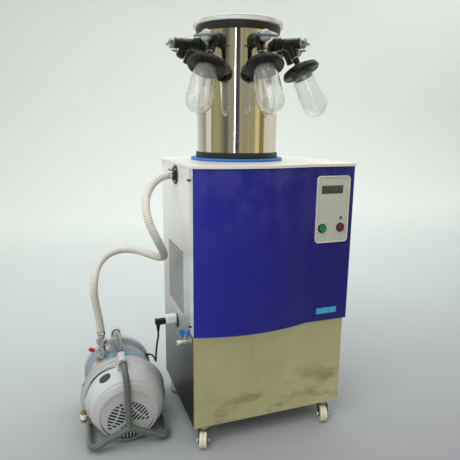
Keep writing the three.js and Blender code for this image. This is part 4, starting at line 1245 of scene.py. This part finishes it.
@dataclass
class SideFittings:
    """Vacuum port, mains socket and drain on the left side."""

    shop: Workshop
    port: Flat = (201.0, 854.0)
    socket: Flat = (212.0, 352.0)
    drain: Flat = (20.0, 362.0)

    def build(self) -> None:
        """Makes the three fittings."""
        self.vacuum_port()
        self.mains()
        self.drain_cock()

    def vacuum_port(self) -> None:
        """Makes the flange with its pipe, its bolts and its seal."""
        y, z = self.port
        stand = aimed((0, y, z), (-1, y, z))
        plate = lathe([(0, 0.3), (29.4, 0.3), (30.5, 1.4), (30.5, 4), (29, 5.3), (21, 5.3), (20, 4.6),
                       (17.4, 4.6), (16.6, 6), (15.5, 7), (15.5, 12.6), (14.4, 13.7), (0, 13.7)], 0.6, 72)
        pipe = rod((0, y, z), (128, y, z), 12.5, 0.5)
        self.shop.make("port_flange", plate.moved(stand) + pipe, Coats.SCREW, replaces=["vacuum_port"])
        bolts = []
        for turn in (math.radians(45 + 90 * k) for k in range(4)):
            by, bz = y + 25 * math.cos(turn), z + 25 * math.sin(turn)
            bolts.append(rod((-5, by, bz), (-8.6, by, bz), 3.8, 0.5, 6))
        self.shop.make("port_bolts", all_of(bolts), Coats.ZINC)
        seal = [(16.2, 4.8), (19.6, 4.8), (19.6, 6.4), (16.2, 6.4), (16.2, 4.8)]
        self.shop.make("port_seal", turned(seal, 48).moved(stand), Coats.RING)

    def mains(self) -> None:
        """Makes the mains socket on its black collar."""
        y, z = self.socket
        collar = lathe([(0, 0.3), (22.6, 0.3), (23.4, 1.2), (23.4, 3), (22, 4.3), (0, 4.3)], 0.6, 56)
        self.shop.make("socket_collar", collar.moved(aimed((0, y, z), (-1, y, z))), Coats.BEZEL)
        shell = facing(rounded_outline((-40, -3), (z - 3, z + 23), 2.5), y - 13, y + 13)
        self.shop.make("socket_shell", shell, Coats.WHITE, replaces=["power_socket"], bevel=2.6)
        rear = rod((-3, y, z), (26, y, z), 12.6, 0.5)
        self.shop.make("socket_back", rear, Coats.WHITE)

    def plug(self) -> list[bpy.types.Object]:
        """Makes the right-angle plug and its ribbed relief.

        Returns:
            The pieces that lie on the mains cord.
        """
        y, z = self.socket
        head = facing(rounded_outline((-76, -40.3), (z - 5.5, z + 12.5), 3), y - 9, y + 9)
        made = self.shop.make("plug_head", head, Coats.CORD, replaces=["power_plug"], bevel=1.6)
        ribs: list[Flat] = [(0, 0)]
        for k in range(6):
            wide, start = 7.2 - 0.55 * k, 4.2 * k
            ribs += [(wide, start), (wide, start + 2.6), (wide - 1.5, start + 2.8), (wide - 1.5, start + 4)]
        ribs += [(4.1, 24.6), (0, 24.6)]
        relief = lathe(ribs, 0.4, 32, 2).moved(aimed((-66, y, z - 5.2), (-66, y, z - 20)))
        return [made, self.shop.make("plug_relief", relief, Coats.CORD)]

    def drain_cock(self) -> None:
        """Makes the drain's pipe, nuts and mouth, and the blue paddle on its stem."""
        y, z = self.drain
        parts = [rod((-0.3, y, z), (-4, y, z), 10, 0.6), rod((-46, y, z), (20, y, z), 5.5, 0.5),
                 rod((-5, y, z), (-13, y, z), 8.5, 0.8, 6), rod((-13, y, z), (-29, y, z), 8, 2.4),
                 rod((-20, y, z + 2), (-20, y, z + 14), 4, 0.6)]
        self.shop.make("drain_pipe", all_of(parts), Coats.CHROME, replaces=["drain_valve"])
        mouth = lathe([(4.2, 0), (6, 0), (6.4, 3), (7, 12), (7, 13.4), (4.2, 13.4), (4.2, 0)], 0.5, 32)
        self.shop.make("drain_mouth", mouth.moved(aimed((-33, y, z), (-46.4, y, z))), Coats.BORDER)
        disc = lathe([(0, -2.4), (0.86, -2.4), (1, -1.4), (1, 1.4), (0.86, 2.4), (0, 2.4)], 0.06, 48, 4)
        stand = Matrix.Rotation(math.pi / 2, 4, "X")
        wings = []
        for x, up, wide, long, lean in ((-30, 29, 7.9, 14.8, -17), (-11, 26.5, 5.9, 11.8, 14)):
            turn = Matrix.Rotation(math.radians(lean), 4, "Y")
            wings.append(disc.moved(Matrix.Translation((x, y, z + up)) @ turn
                                    @ Matrix.Diagonal((wide, 1, long, 1)) @ stand))
        shank = rod((-20, y, z + 14.3), (-20, y, z + 24.6), 5, 0.8, 24)
        link = block((-28, -12), (y - 2.3, y + 2.3), (z + 17.4, z + 24.6))
        self.shop.make("drain_paddle", all_of(wings), Coats.LEVER_BLUE, "drain_handle", ["drain_lever"])
        self.shop.make("drain_bridge", link, Coats.LEVER_BLUE, "drain_handle", bevel=1.4)
        self.shop.make("drain_shank", shank, Coats.CHROME, "drain_handle")


# ---- pump --------------------------------------------------------------------------------------


@dataclass
class Pump:
    """Vacuum pump in oval housings, on a tube frame."""

    shop: Workshop
    x: float = -191.5
    y: float = 74.0
    yaw: float = -2.0
    floor: float = 10.0
    face: float = 24.0
    seam: float = 162.0
    rear_seam: float = 271.0
    boss: Flat = (70.0, 128.0)
    tube: float = 10.5
    skid: float = 122.0
    skid_z: float = 22.0
    grille_z: float = 78.0
    grille: float = 66.0
    fans: tuple[float, ...] = (153.0, 42.0, 270.0)
    slot_pitch: float = 10.6
    slot_half: float = 3.5
    slot_bridge: float = 2.4
    hub: float = 12.0
    cover: tuple[tuple[float, ...], ...] = (
        (24, 95, 90, 0), (30, 103.5, 97.5, 0), (50, 119.5, 106.5, 1), (80, 128.5, 112.5, 1),
        (110, 128.5, 114.5, 0), (135, 121.5, 115.5, -5), (162, 115, 115, -11))
    body_u: float = -11.0

    def build(self) -> None:
        """Makes the housings, frame, fittings and levers."""
        self.place = Matrix.Translation((self.x, self.y, 0)) @ Matrix.Rotation(math.radians(self.yaw), 4, "Z")
        self.front_cover()
        self.middle()
        self.rear_cover()
        self.frame_tubes()
        self.inlet()
        self.left_fittings()

    def make(self, name: str, shape: Shape, finish: Finish, **more: object) -> bpy.types.Object:
        """Makes a piece from a shape in the pump's own frame."""
        return self.shop.make(name, shape.moved(self.place), finish, **more)

    @staticmethod
    def oval(v: float, wide: float, high: float, middle: float, across: float = 0.0,
             sides: int = 120) -> list[Point]:
        """Points round an upright oval at a distance back."""
        return [(across + wide * math.cos(a), v, middle + high * math.sin(a)) for a in turns(sides)]

    def housing(self, rows: Sequence[Sequence[float]], floor: float, soft: float = 5.0) -> Shape:
        """Skins ovals that stand on one floor.

        Args:
            rows: (distance back, half width, half height, middle across) of each oval.
            floor: The height of the ovals' lowest points.
            soft: How far the corners between rows are rounded.

        Returns:
            The closed housing.
        """
        return lofted([self.oval(v, wide, high, floor + high, across)
                       for v, wide, high, across in softened(rows, soft, 4)])

    def slots(self) -> list[Shape]:
        """Cutters for the grille's three fans of slots, the longer of which are bridged in the middle.

        Returns:
            The cutters.
        """
        cutters = []
        middle = Matrix.Translation((0, self.face, self.grille_z))
        for fan in self.fans:
            turn = middle @ Matrix.Rotation(-math.radians(fan), 4, "Y")
            for offset in (step * self.slot_pitch for step in range(-4, 5)):
                reach = math.sqrt(self.grille ** 2 - offset ** 2)
                start = max(self.hub, abs(offset) * 0.90)
                bridge = (start + reach) / 2
                spans = [(start, reach)]
                if reach - start > 18:
                    spans = [(start, bridge - self.slot_bridge), (bridge + self.slot_bridge, reach)]
                width = (offset - self.slot_half, offset + self.slot_half)
                cutters += [block(span, (-9, 12), width).moved(turn) for span in spans]
        return cutters

    def front_cover(self) -> None:
        """Makes the front cover's shell, recessed face, grille, boss, patches, window and slit."""
        front = [(40, 84, 80, 0), (26, 86, 82, 0), (24.2, 88, 84, 0), (24, 92.5, 88, 0)]
        back = [(158, 116.5, 115.4, -10), (self.seam, 114, 114, -11)]
        shoulder = [(33, 105.5, 99), (36, 110.5, 102.6)]
        rows = [*front, (25.4, 95.5, 90.6, 0), self.cover[1], *((*row, 0.5) for row in shoulder),
                *self.cover[2:-1], *back]
        self.make("cover_front", self.housing(rows, self.floor, 3.4), Coats.COVER,
                  replaces=["pump_front_cover"])
        face = lofted([self.oval(v, w, h, 100) for v, w, h in
                       ((28.6, 86.4, 82.2), (26.2, 86.4, 82.2), (25.2, 85.4, 81.2))])
        self.make("cover_face", face.minus(*self.slots()), Coats.COVER, bevel=0.4)
        seat = softened([(-26, 225), (10, 225), (6, 262), (0, 272), (-16, 272), (-22, 262), (-26, 225)], 6, 5)
        self.make("handle_front_boss", facing(seat[:-1], *self.boss), Coats.COVER, bevel=3)
        shade = lofted([self.oval(v, 70, 68, self.grille_z + 3) for v in (29.4, 31)])
        self.make("grille_shade", shade, Coats.GRILLE)
        saddle = self.patch((101, 139), lambda turn: (108.0 - abs(turn - 125) * 0.12, 196.0), 1.6)
        self.make("cover_saddle", saddle, Coats.SADDLE)
        self.make("cover_cheek", self.patch((140, 174), lambda turn: (106.0, self.seam), 0.7), Coats.PUMP)
        self.make("seam_strip", self.patch((24, 62), lambda turn: (156.5, self.seam), 1.0), Coats.CORD)
        window = [self.on_skin(122 + 9.5 * math.cos(a), 70 + 13.5 * math.sin(a), 0.8) for a in turns(40)]
        middle = sum(window, Vector()) / len(window)
        rim = [p.lerp(middle, 0.14) + (p - Vector((p.x * 0.9, p.y, 127))).normalized() * 0.8 for p in window]
        root = [p.lerp(middle, 0.02) - Vector((p.x, 0, p.z - 127)).normalized() * 4 for p in window]
        self.make("cover_window", lofted([root, window, rim]), Coats.SIGHT)
        # Painted shade: a dark tube on the skin stands in for the shade in the slit.
        arc = [self.on_skin(104 + t * 2.2, 95 + 11 * math.sin(math.radians(t * 4.4)), 0.4)
               for t in range(21)]
        self.make("cover_slit", tube(smooth_line([tuple(p) for p in arc], 60), [1.7] * 60, 8), Coats.GRILLE)

    def on_skin(self, angle: float, v: float, lift: float) -> Vector:
        """A point on the skin of the front cover, or of the body behind it.

        Args:
            angle: The turn round the pump in degrees, from its right-hand side.
            v: The distance back.
            lift: How far the point stands off the skin.

        Returns:
            The point, in the pump's frame.
        """
        rows = [(at, wide, high, across, self.floor + high) for at, wide, high, across in self.cover]
        rows += [(168, 114.5, 114, self.body_u, self.floor + 117),
                 (271, 114.5, 115, self.body_u, self.floor + 118)]
        for low, high in zip(rows, rows[1:]):
            if v <= high[0]:
                t = (v - low[0]) / (high[0] - low[0])
                break
        wide, tall, across, middle = (low[i] + (high[i] - low[i]) * t for i in range(1, 5))
        turn = math.radians(angle)
        return Vector((across + (wide + lift) * math.cos(turn), v, middle + (tall + lift) * math.sin(turn)))

    def patch(self, angles: Flat, reach: Callable[[float], Flat], lift: float) -> Shape:
        """A thin shell that lies on the pump's skin.

        Args:
            angles: The first and last turn round the pump, in degrees.
            reach: Gives the front and back of the shell at a turn.
            lift: How far its outer face stands off the skin.

        Returns:
            The closed shell.
        """
        across, along = 28, 18
        rings = []
        for i in range(across + 1):
            turn = angles[0] + (angles[1] - angles[0]) * i / across
            near, far = reach(turn)
            line = [(near + (far - near) * k / along, lift) for k in range(along + 1)]
            line += [(v, -1.0) for v, _ in reversed(line)]
            rings.append([tuple(self.on_skin(turn, v, off)) for v, off in line])
        return lofted(rings)

    def middle(self) -> None:
        """Makes the slate body with its ribs, cyan bands, cord gland and feet."""
        mid = self.body_u
        rows = [(self.seam + 0.6, 110, 110, mid), (self.seam + 1.4, 114.5, 114, mid),
                (216, 114.5, 114.4, mid), (self.rear_seam - 1, 114.5, 115, mid),
                (self.rear_seam - 0.4, 111, 112, mid)]
        self.make("body_shell", self.housing(rows, self.floor + 3, 1), Coats.PUMP, replaces=["pump_body"])
        for side, angles in (("right", (68, 85)), ("left", (97, 112))):
            self.make(f"cyan_band_{side}", self.patch(angles, lambda turn: (165.0, 175.0), 2.2), Coats.CYAN)
        self.make("body_ribs", all_of([self.fin(v) for v in (202, 216, 230, 244, 258)]), Coats.PUMP)
        gland = lathe([(0, 0), (8, 0), (8, 8), (6, 9), (5.4, 15.4), (4, 15.6), (0, 15.6)], 0.6, 32)
        self.make("cord_gland", gland.moved(aimed((81.4, 260.7, 180), (97, 260.7, 180))), Coats.CORD)
        foot = lathe([(0, 0), (14.6, 0), (15, 3), (13, 19), (0, 20)], 1.4, 36)
        feet = []
        for u, v in ((-94, 180), (-94, 250), (78, 180), (78, 250)):
            feet += [foot.shifted(u, v, 0), block((u - 11, u + 11), (v - 11, v + 11), (18, 60))]
        self.make("pump_feet", all_of(feet), Coats.FOOT)

    def fin(self, v: float) -> Shape:
        """A low rib round the body at a distance back."""
        return lofted([self.oval(v + step, 114.2 + high, 113.8 + high, 127.3, self.body_u)
                       for step, high in ((-1.4, -0.4), (-0.9, 1.0), (0.9, 1.0), (1.4, -0.4))])

    def rear_cover(self) -> None:
        """Makes the rear cover, and the handle between its boss and the front cover's."""
        mid = self.body_u
        rows = [(self.rear_seam, 115, 118, mid), (self.rear_seam + 1.5, 118, 121, mid), (300, 118, 121, mid),
                (312, 114, 118, mid), (320, 101, 107, mid)]
        self.make("cover_rear", self.housing(rows, self.floor + 4, 4), Coats.COVER,
                  replaces=["pump_rear_cover"])
        seat = softened([(-31, 240), (7, 240), (5, 272), (-1, 284), (-23, 284), (-29, 272), (-31, 240)], 6, 5)
        self.make("handle_rear_boss", facing(seat[:-1], 284, 312), Coats.COVER, bevel=3)
        route = [(-9, 110, 256), (-9.2, 128, 265), (-9.6, 152, 274), (-10.4, 196, 279), (-11.2, 240, 279),
                 (-11.8, 272, 274), (-12, 296, 266)]
        grip = tube(smooth_line(route, 90, 0.4), [self.tube - 0.1] * 90, 28)
        clear = block((-40, 20), (90, self.boss[1] + 0.3), (230, 300))
        self.make("carry_handle", grip.minus(clear), Coats.TUBE)
        cuff = lathe([(9.8, 0), (13, 0), (13, 3.4), (11.4, 6), (9.8, 6), (9.8, 0)], 0.8, 40)
        self.make("handle_cuff", cuff.moved(aimed((-11.9, 284.6, 271.2), (-11.6, 270, 275))), Coats.FOOT)

    def frame_tubes(self) -> None:
        """Makes the bumper, post, skids, tie and struts."""
        low, wide = self.skid_z, self.skid
        skid = [(0, -4, 70), (22, -3, 61), (84, -1, 31), (102, -2, low + 2), (116, 5, low), (wide, 24, low),
                (wide, 150, low), (wide, 300, low)]
        parts = []
        for s, inner in ((-1, 94), (1, 90)):
            line = smooth_line([(s * u, v, z) for u, v, z in skid], 110, 0.3)
            parts.append(tube(line, [self.tube] * 110, 28))
            parts += [rod((s * wide, v, low), (s * inner, v, 54), 7, 0.5, 24) for v in (120, 215)]
        post = [(0, -5, 66), (-1, 6, 120), (-1, 12, 160), (-1, 16, 200), (-3, 27, 230), (-5, 45, 248),
                (-6.5, 66, 254), (-7, 90, 254)]
        parts.append(tube(smooth_line(post, 100, 0.4), [self.tube] * 100, 28)
                     .minus(block((-30, 20), (self.boss[0] - 0.3, 140), (230, 280))))
        parts.append(rod((-wide, 296, low), (wide, 296, low), 9.5, 0.5, 28))
        self.make("frame_bumper", all_of(parts), Coats.TUBE, replaces=["pump_frame"])
        cuff = lathe([(9.8, 0), (12.6, 0), (12.6, 4), (11.4, 6), (9.8, 6), (9.8, 0)], 0.8, 40)
        self.make("post_cuff", cuff.moved(aimed((-6.6, 69.4, 254), (-6.2, 60, 253.2))), Coats.FOOT)

    def inlet(self) -> None:
        """Makes the inlet valve with its nut and clamp wing, and its red-tipped lever."""
        u, v, arm = -66.7, 184.0, 258.0
        nut = rod((u, v, 214), (u, v, 231), 19, 1.2, 6)
        base = lathe([(0, 205), (17, 205), (17, 214), (0, 214)], 1, 40).shifted(u, v, 0)
        stack = lathe([(0, 230), (13, 230), (13, 240), (15.6, 247), (16, 252), (16, 263), (12.4, 270),
                       (12, 274), (12, 282), (17, 284), (18, 286), (18, 290.6), (16.4, 291.6), (18, 292.6),
                       (18, 297), (17, 299), (12, 300.6), (11, 302), (11, 305.7), (0, 305.7)],
                      0.8, 56).shifted(u, v, 0)
        cross = [rod((u - 18, v, arm), (u + 20, v, arm), 8.5, 0.8),
                 rod((u + 17, v, arm), (u + 27, v, arm), 12, 1, 6),
                 rod((u, v, arm), (u, v - 23, arm), 4.5, 0.4, 24),
                 rod((u, v - 12, arm), (u, v - 20, arm), 7.6, 0.6, 6)]
        self.make("inlet_body", all_of([base, stack, *cross]), Coats.CHROME, replaces=["inlet_valve"])
        self.make("inlet_nut", nut, Coats.BRASS)
        wing = [rod((u + 15, v - 6, 291), (u + 15, v + 8, 291), 2.2, 0.4, 16),
                block((u + 12.6, u + 17.4), (v - 8, v - 4), (283, 299))]
        self.make("clamp_wing", all_of(wing), Coats.ZINC, bevel=0.6)
        front = v - 23.3
        middle = front - 3
        hub = rod((u, front, arm), (u, front - 6, arm), 8, 1, 32)
        stick = rod((u - 2, middle, arm + 1), (u - 27, middle, arm + 14.6), 2.6, 0.4, 20)
        self.make("inlet_arm", hub + stick, Coats.CHROME, body="inlet_handle", replaces=["inlet_lever"])
        grip = lathe([(0, 0), (5, 0), (6.8, 3), (6.8, 15), (5, 18.8), (0, 19)], 1.6, 32)
        along = aimed((u - 25.2, middle, arm + 13.6), (u - 42, middle, arm + 22.7))
        self.make("inlet_grip", grip.moved(along), Coats.LEVER_RED, body="inlet_handle")

    def left_fittings(self) -> None:
        """Makes the gas ballast knob and the exhaust on the left of the front cover."""
        boss = rod((-108, 126, 165), (-123, 126, 165), 6, 0.5, 28)
        self.make("ballast_boss", boss, Coats.SCREW)
        grip = lathe([(0, 0), (9, 0), (9, 2), (8.2, 3), (8.2, 9), (7, 10.7), (0, 10.7)], 0.8, 20)
        self.make("ballast_grip", grip.moved(aimed((-123.3, 126, 165), (-134, 126, 165))), Coats.FOOT,
                  body="ballast", replaces=["ballast_knob"])
        u, v = -137.0, 100.0
        stub = rod((-100, v, 74), (u + 8, v, 74), 7, 0.5, 28)
        self.make("exhaust_stub", stub, Coats.BRASS)
        ends = [rod((u, v, 55), (u, v, 65), 10.8, 1, 32), rod((u, v, 81), (u, v, 90), 10.4, 1, 6)]
        self.make("exhaust_ends", all_of(ends), Coats.BRASS)
        self.make("exhaust_middle", rod((u, v, 64), (u, v, 82), 10.2, 1.4), Coats.WHITE)


# ---- hose and cord -----------------------------------------------------------------------------


@dataclass
class Lines:
    """The ribbed vacuum hose and the pump's mains cord."""

    shop: Workshop
    hose_radius: float = 13.0
    cord_radius: float = 3.3
    pitch: float = 7.4
    rib: tuple[float, ...] = (0.0, 0.4, 1.2, 0.4)
    hose_route: tuple[Point, ...] = (
        (-14, 201, 854), (-24, 201, 854), (-50, 198, 846), (-80, 190, 824), (-102, 165, 790),
        (-110, 130, 755), (-104, 105, 715), (-85, 100, 670), (-64, 125, 628), (-50, 175, 596),
        (-55, 230, 578), (-75, 285, 574), (-110, 320, 582), (-150, 335, 586), (-190, 332, 582),
        (-225, 318, 567), (-250, 296, 542), (-263, 272, 505), (-267, 262, 465), (-264, 261, 428),
        (-258, 261, 388), (-253, 260.6, 348), (-251.7, 260.3, 320), (-251.7, 260.3, 307))
    cord_route: tuple[Point, ...] = (
        (-84.5, 331.3, 180), (-79, 331.3, 180), (-68, 326, 177), (-62.5, 310, 170), (-62.5, 292, 169.5),
        (-65, 273, 185), (-68, 252, 220), (-68, 232, 262), (-66, 214, 302), (-66, 212, 321.7))

    def build(self, plug: Sequence[bpy.types.Object]) -> None:
        """Args:
            plug: The pieces at the end of the mains cord; not used.
        """
        self.hose()
        line = smooth_line(self.cord_route, 60)
        cord = self.shop.make("mains_cord", tube(line, [self.cord_radius] * 60, 16), Coats.CORD,
                              replaces=["pump_cord"])
        self.shop.metres(line[0])
        [self.shop.metres(p) for p in line]

    @staticmethod
    def length(line: Sequence[Vector]) -> float:
        """The length of a line, in metres."""
        return sum((b - a).length for a, b in zip(line, line[1:])) * METRE

    def hose(self) -> None:
        """Makes the ribbed hose, with the share of its length as texture place, and its two clamps."""
        sides, step = 20, len(self.rib)
        rough = smooth_line(self.hose_route, 600)
        ribs = round(self.length(rough) * MILLIMETRES / self.pitch)
        rings = ribs * step + 1
        line = smooth_line(self.hose_route, rings)
        radii = [self.hose_radius - self.rib[k % step] for k in range(rings)]
        hose = self.shop.make("ribbed_hose", tube(line, radii, sides), Coats.HOSE, replaces=["vacuum_hose"],
                              crease=80)
        layer = hose.data.uv_layers.new(name="along")
        for loop in hose.data.loops:
            ring = loop.vertex_index // sides
            layer.data[loop.index].uv = (loop.vertex_index % sides / sides, ring / (rings - 1))
        clamps = [self.clamp("port_clamp", line[3], line[5], Vector((0, 0, 1))),
                  self.clamp("inlet_clamp", line[-9], line[-7], Vector((0, -1, 0)))]
        self.shop.metres(line[0])
        [self.shop.metres(p) for p in line[::4]]

    def clamp(self, name: str, start: Vector, end: Vector, screw: Vector) -> bpy.types.Object:
        """Makes a worm-drive clamp round the hose.

        Args:
            name: The piece's name.
            start: A point on the hose's middle line.
            end: A point a little further on.
            screw: The way from the middle to the screw's housing.

        Returns:
            The clamp.
        """
        around = aimed(start, end)
        band = turned([(13.2, -4.5), (14.1, -4.5), (14.1, 4.5), (13.2, 4.5), (13.2, -4.5)], 56).moved(around)
        ahead = (end - start).normalized()
        side = ahead.cross(screw).normalized()
        seat = start + screw * 16.4
        worm = rod(tuple(seat - side * 8), tuple(seat + side * 8), 3.6, 0.8, 20)
        head = rod(tuple(seat + side * 8), tuple(seat + side * 11), 4.6, 0.6, 6)
        return self.shop.make(name, band + worm + head, Coats.CHROME)


# ---- studio ------------------------------------------------------------------------------------


@dataclass
class Studio:
    """Pale sweep, soft lights and camera."""

    camera_at: Point = (-0.44771, -1.47945, 0.9955)
    yaw: float = 20.083
    pitch: float = 12.054
    roll: float = -0.595
    lens: float = 36.586
    ceiling: Colour = (0.62, 0.64, 0.60)
    sensor: float = 36.0
    glow: float = 0.9
    sweep_half: float = 7.0
    sweep_front: float = -6.0
    sweep_start: float = 2.4
    sweep_radius: float = 1.4
    sweep_top: float = 6.0
    room_heading: float = -110.7
    room: tuple[tuple[float, Colour], ...] = (
        (-180, (0.62, 0.64, 0.60)), (-112, (0.60, 0.60, 0.54)), (-107, (0.28, 0.26, 0.22)),
        (-104, (0.93, 0.90, 0.84)), (-79, (0.93, 0.90, 0.84)), (-76, (0.27, 0.23, 0.16)),
        (-72, (0.46, 0.42, 0.24)), (-47, (0.42, 0.38, 0.22)), (-42, (0.30, 0.28, 0.20)),
        (-35, (0.17, 0.17, 0.15)), (-26, (0.17, 0.17, 0.16)), (-21, (0.38, 0.38, 0.26)),
        (-9, (0.38, 0.38, 0.26)), (-7, (0.04, 0.05, 0.14)), (0, (0.06, 0.07, 0.14)),
        (5, (0.07, 0.07, 0.09)), (8, (0.47, 0.44, 0.29)), (20, (0.41, 0.37, 0.23)),
        (51, (0.43, 0.40, 0.25)), (54, (0.82, 0.75, 0.40)), (65, (0.80, 0.72, 0.38)),
        (69, (0.33, 0.27, 0.12)), (81, (0.30, 0.25, 0.12)), (85, (0.88, 0.84, 0.74)),
        (150, (0.88, 0.84, 0.74)), (180, (0.62, 0.64, 0.60)))

    def build(self) -> None:
        """Sets up the camera, the sweep, the lights and the surroundings."""
        self.camera()
        self.sweep()
        self.light("key", (-1.5, -1.6, 3.0), (0.1, 0.1, 0.6), (2.2, 2.2), 58)
        self.light("overhead", (0.6, 0.4, 3.4), (0.2, 0.1, 0.5), (2.6, 2.6), 58)
        self.light("left_fill", (-3.2, -0.2, 1.9), (0.0, 0.1, 0.6), (2.0, 2.0), 28)
        self.light("backdrop_wash", (4.4, 1.5, 3.9), (3.9, 3.8, 1.7), (3.4, 1.4), 36)
        self.light("strip", (-1.30, -2.83, 1.3), (0.127, 0.037, 1.1), (0.10, 3.0), 7)
        for name in ("key", "left_fill"):
            bpy.data.objects[name].visible_glossy = False
        self.surroundings()
        bpy.context.scene.view_settings.view_transform = "Standard"

    def camera(self) -> None:
        """Makes the camera."""
        yaw, pitch, roll = (math.radians(a) for a in (self.yaw, self.pitch, self.roll))
        ahead = Vector((math.sin(yaw) * math.cos(pitch), math.cos(yaw) * math.cos(pitch), -math.sin(pitch)))
        right = Vector((math.cos(yaw), -math.sin(yaw), 0))
        down = ahead.cross(right)
        across = right * math.cos(roll) + down * math.sin(roll)
        up = right * math.sin(roll) - down * math.cos(roll)
        data = bpy.data.cameras.new("camera")
        data.lens, data.sensor_width = self.lens, self.sensor
        made = placed("camera", data)
        facing_way = Matrix((across, up, -ahead)).transposed().to_4x4()
        made.matrix_world = Matrix.Translation(self.camera_at) @ facing_way
        bpy.context.scene.camera = made

    def sweep(self) -> None:
        """Makes the floor that curves up into a backdrop."""
        start, radius = self.sweep_start, self.sweep_radius
        profile = [(self.sweep_front, 0.0), (start, 0.0)]
        profile += [(start + radius * math.sin(a), radius - radius * math.cos(a))
                    for a in (math.pi / 2 * k / 24 for k in range(1, 25))]
        profile.append((start + radius, self.sweep_top))
        corners = [(x, y, z) for x in (-self.sweep_half, self.sweep_half) for y, z in profile]
        count = len(profile)
        mesh = bpy.data.meshes.new("sweep")
        mesh.from_pydata(corners, [], [(i, i + 1, count + i + 1, count + i) for i in range(count - 1)])
        mesh.shade_smooth()
        mesh.materials.append(StagePaint("studio_sweep_paint", "side_metal").material())
        made = placed("sweep", mesh)

    def light(self, name: str, at: Point, aim: Point, size: Flat, power: float) -> None:
        """Makes a soft oblong light.

        Args:
            name: Its name.
            at: Where it hangs.
            aim: What it points at.
            size: Its width and height, in metres.
            power: Its strength, in watts.
        """
        data = bpy.data.lights.new(name, "AREA")
        data.shape, data.energy = "RECTANGLE", power
        data.size, data.size_y = size
        made = placed(name, data)
        made.location = at
        made.rotation_euler = (Vector(aim) - Vector(at)).to_track_quat("-Z", "Y").to_euler()

    def surroundings(self) -> None:
        """Surrounds the stage with a room of soft upright bands, under a pale ceiling."""
        world = bpy.data.worlds.new("room")
        bpy.context.scene.world = world
        world.use_nodes = True
        tree = Tree(world.node_tree)
        turn = tree.node("Mapping", Vector=tree.node("TexCoord").outputs["Generated"],
                         Rotation=(0, 0, math.radians(90 - self.room_heading)))
        across, along, up = tree.node("SeparateXYZ", Vector=turn.outputs["Vector"]).outputs
        bearing = tree.sums("ARCTAN2", across, along)
        share = tree.sums("MULTIPLY_ADD", bearing, -0.5 / math.pi, 0.5)
        walls = tree.ramp(share, [((angle + 180) / 360, colour) for angle, colour in self.room])
        background = tree.tree.nodes["Background"]
        tree.put(background.inputs["Color"], tree.mixed(tree.span(up, 0, 1), walls, self.ceiling))
        background.inputs["Strength"].default_value = self.glow


def main() -> None:
    """Builds the machine and the studio."""
    logging.basicConfig(level=logging.INFO, format="%(name)s %(message)s")
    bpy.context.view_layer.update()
    shop = Workshop()
    Studio().build()
    fittings = SideFittings(shop)
    Lines(shop).build(fittings.plug())
    fittings.build()
    Cabinet(shop).build()
    ControlPanel(shop).build()
    for index, (x, y, heading) in enumerate(CASTERS, 1):
        Caster(shop, index, x, y, heading).build()
    drum = Drum(shop)
    drum.build()
    for index in range(PORTS):
        Port(shop, index, Load.FLASK if index in CAPPED else Load.NOTHING, drum).build()
    Pump(shop).build()


if __name__ == "__main__":
    main()
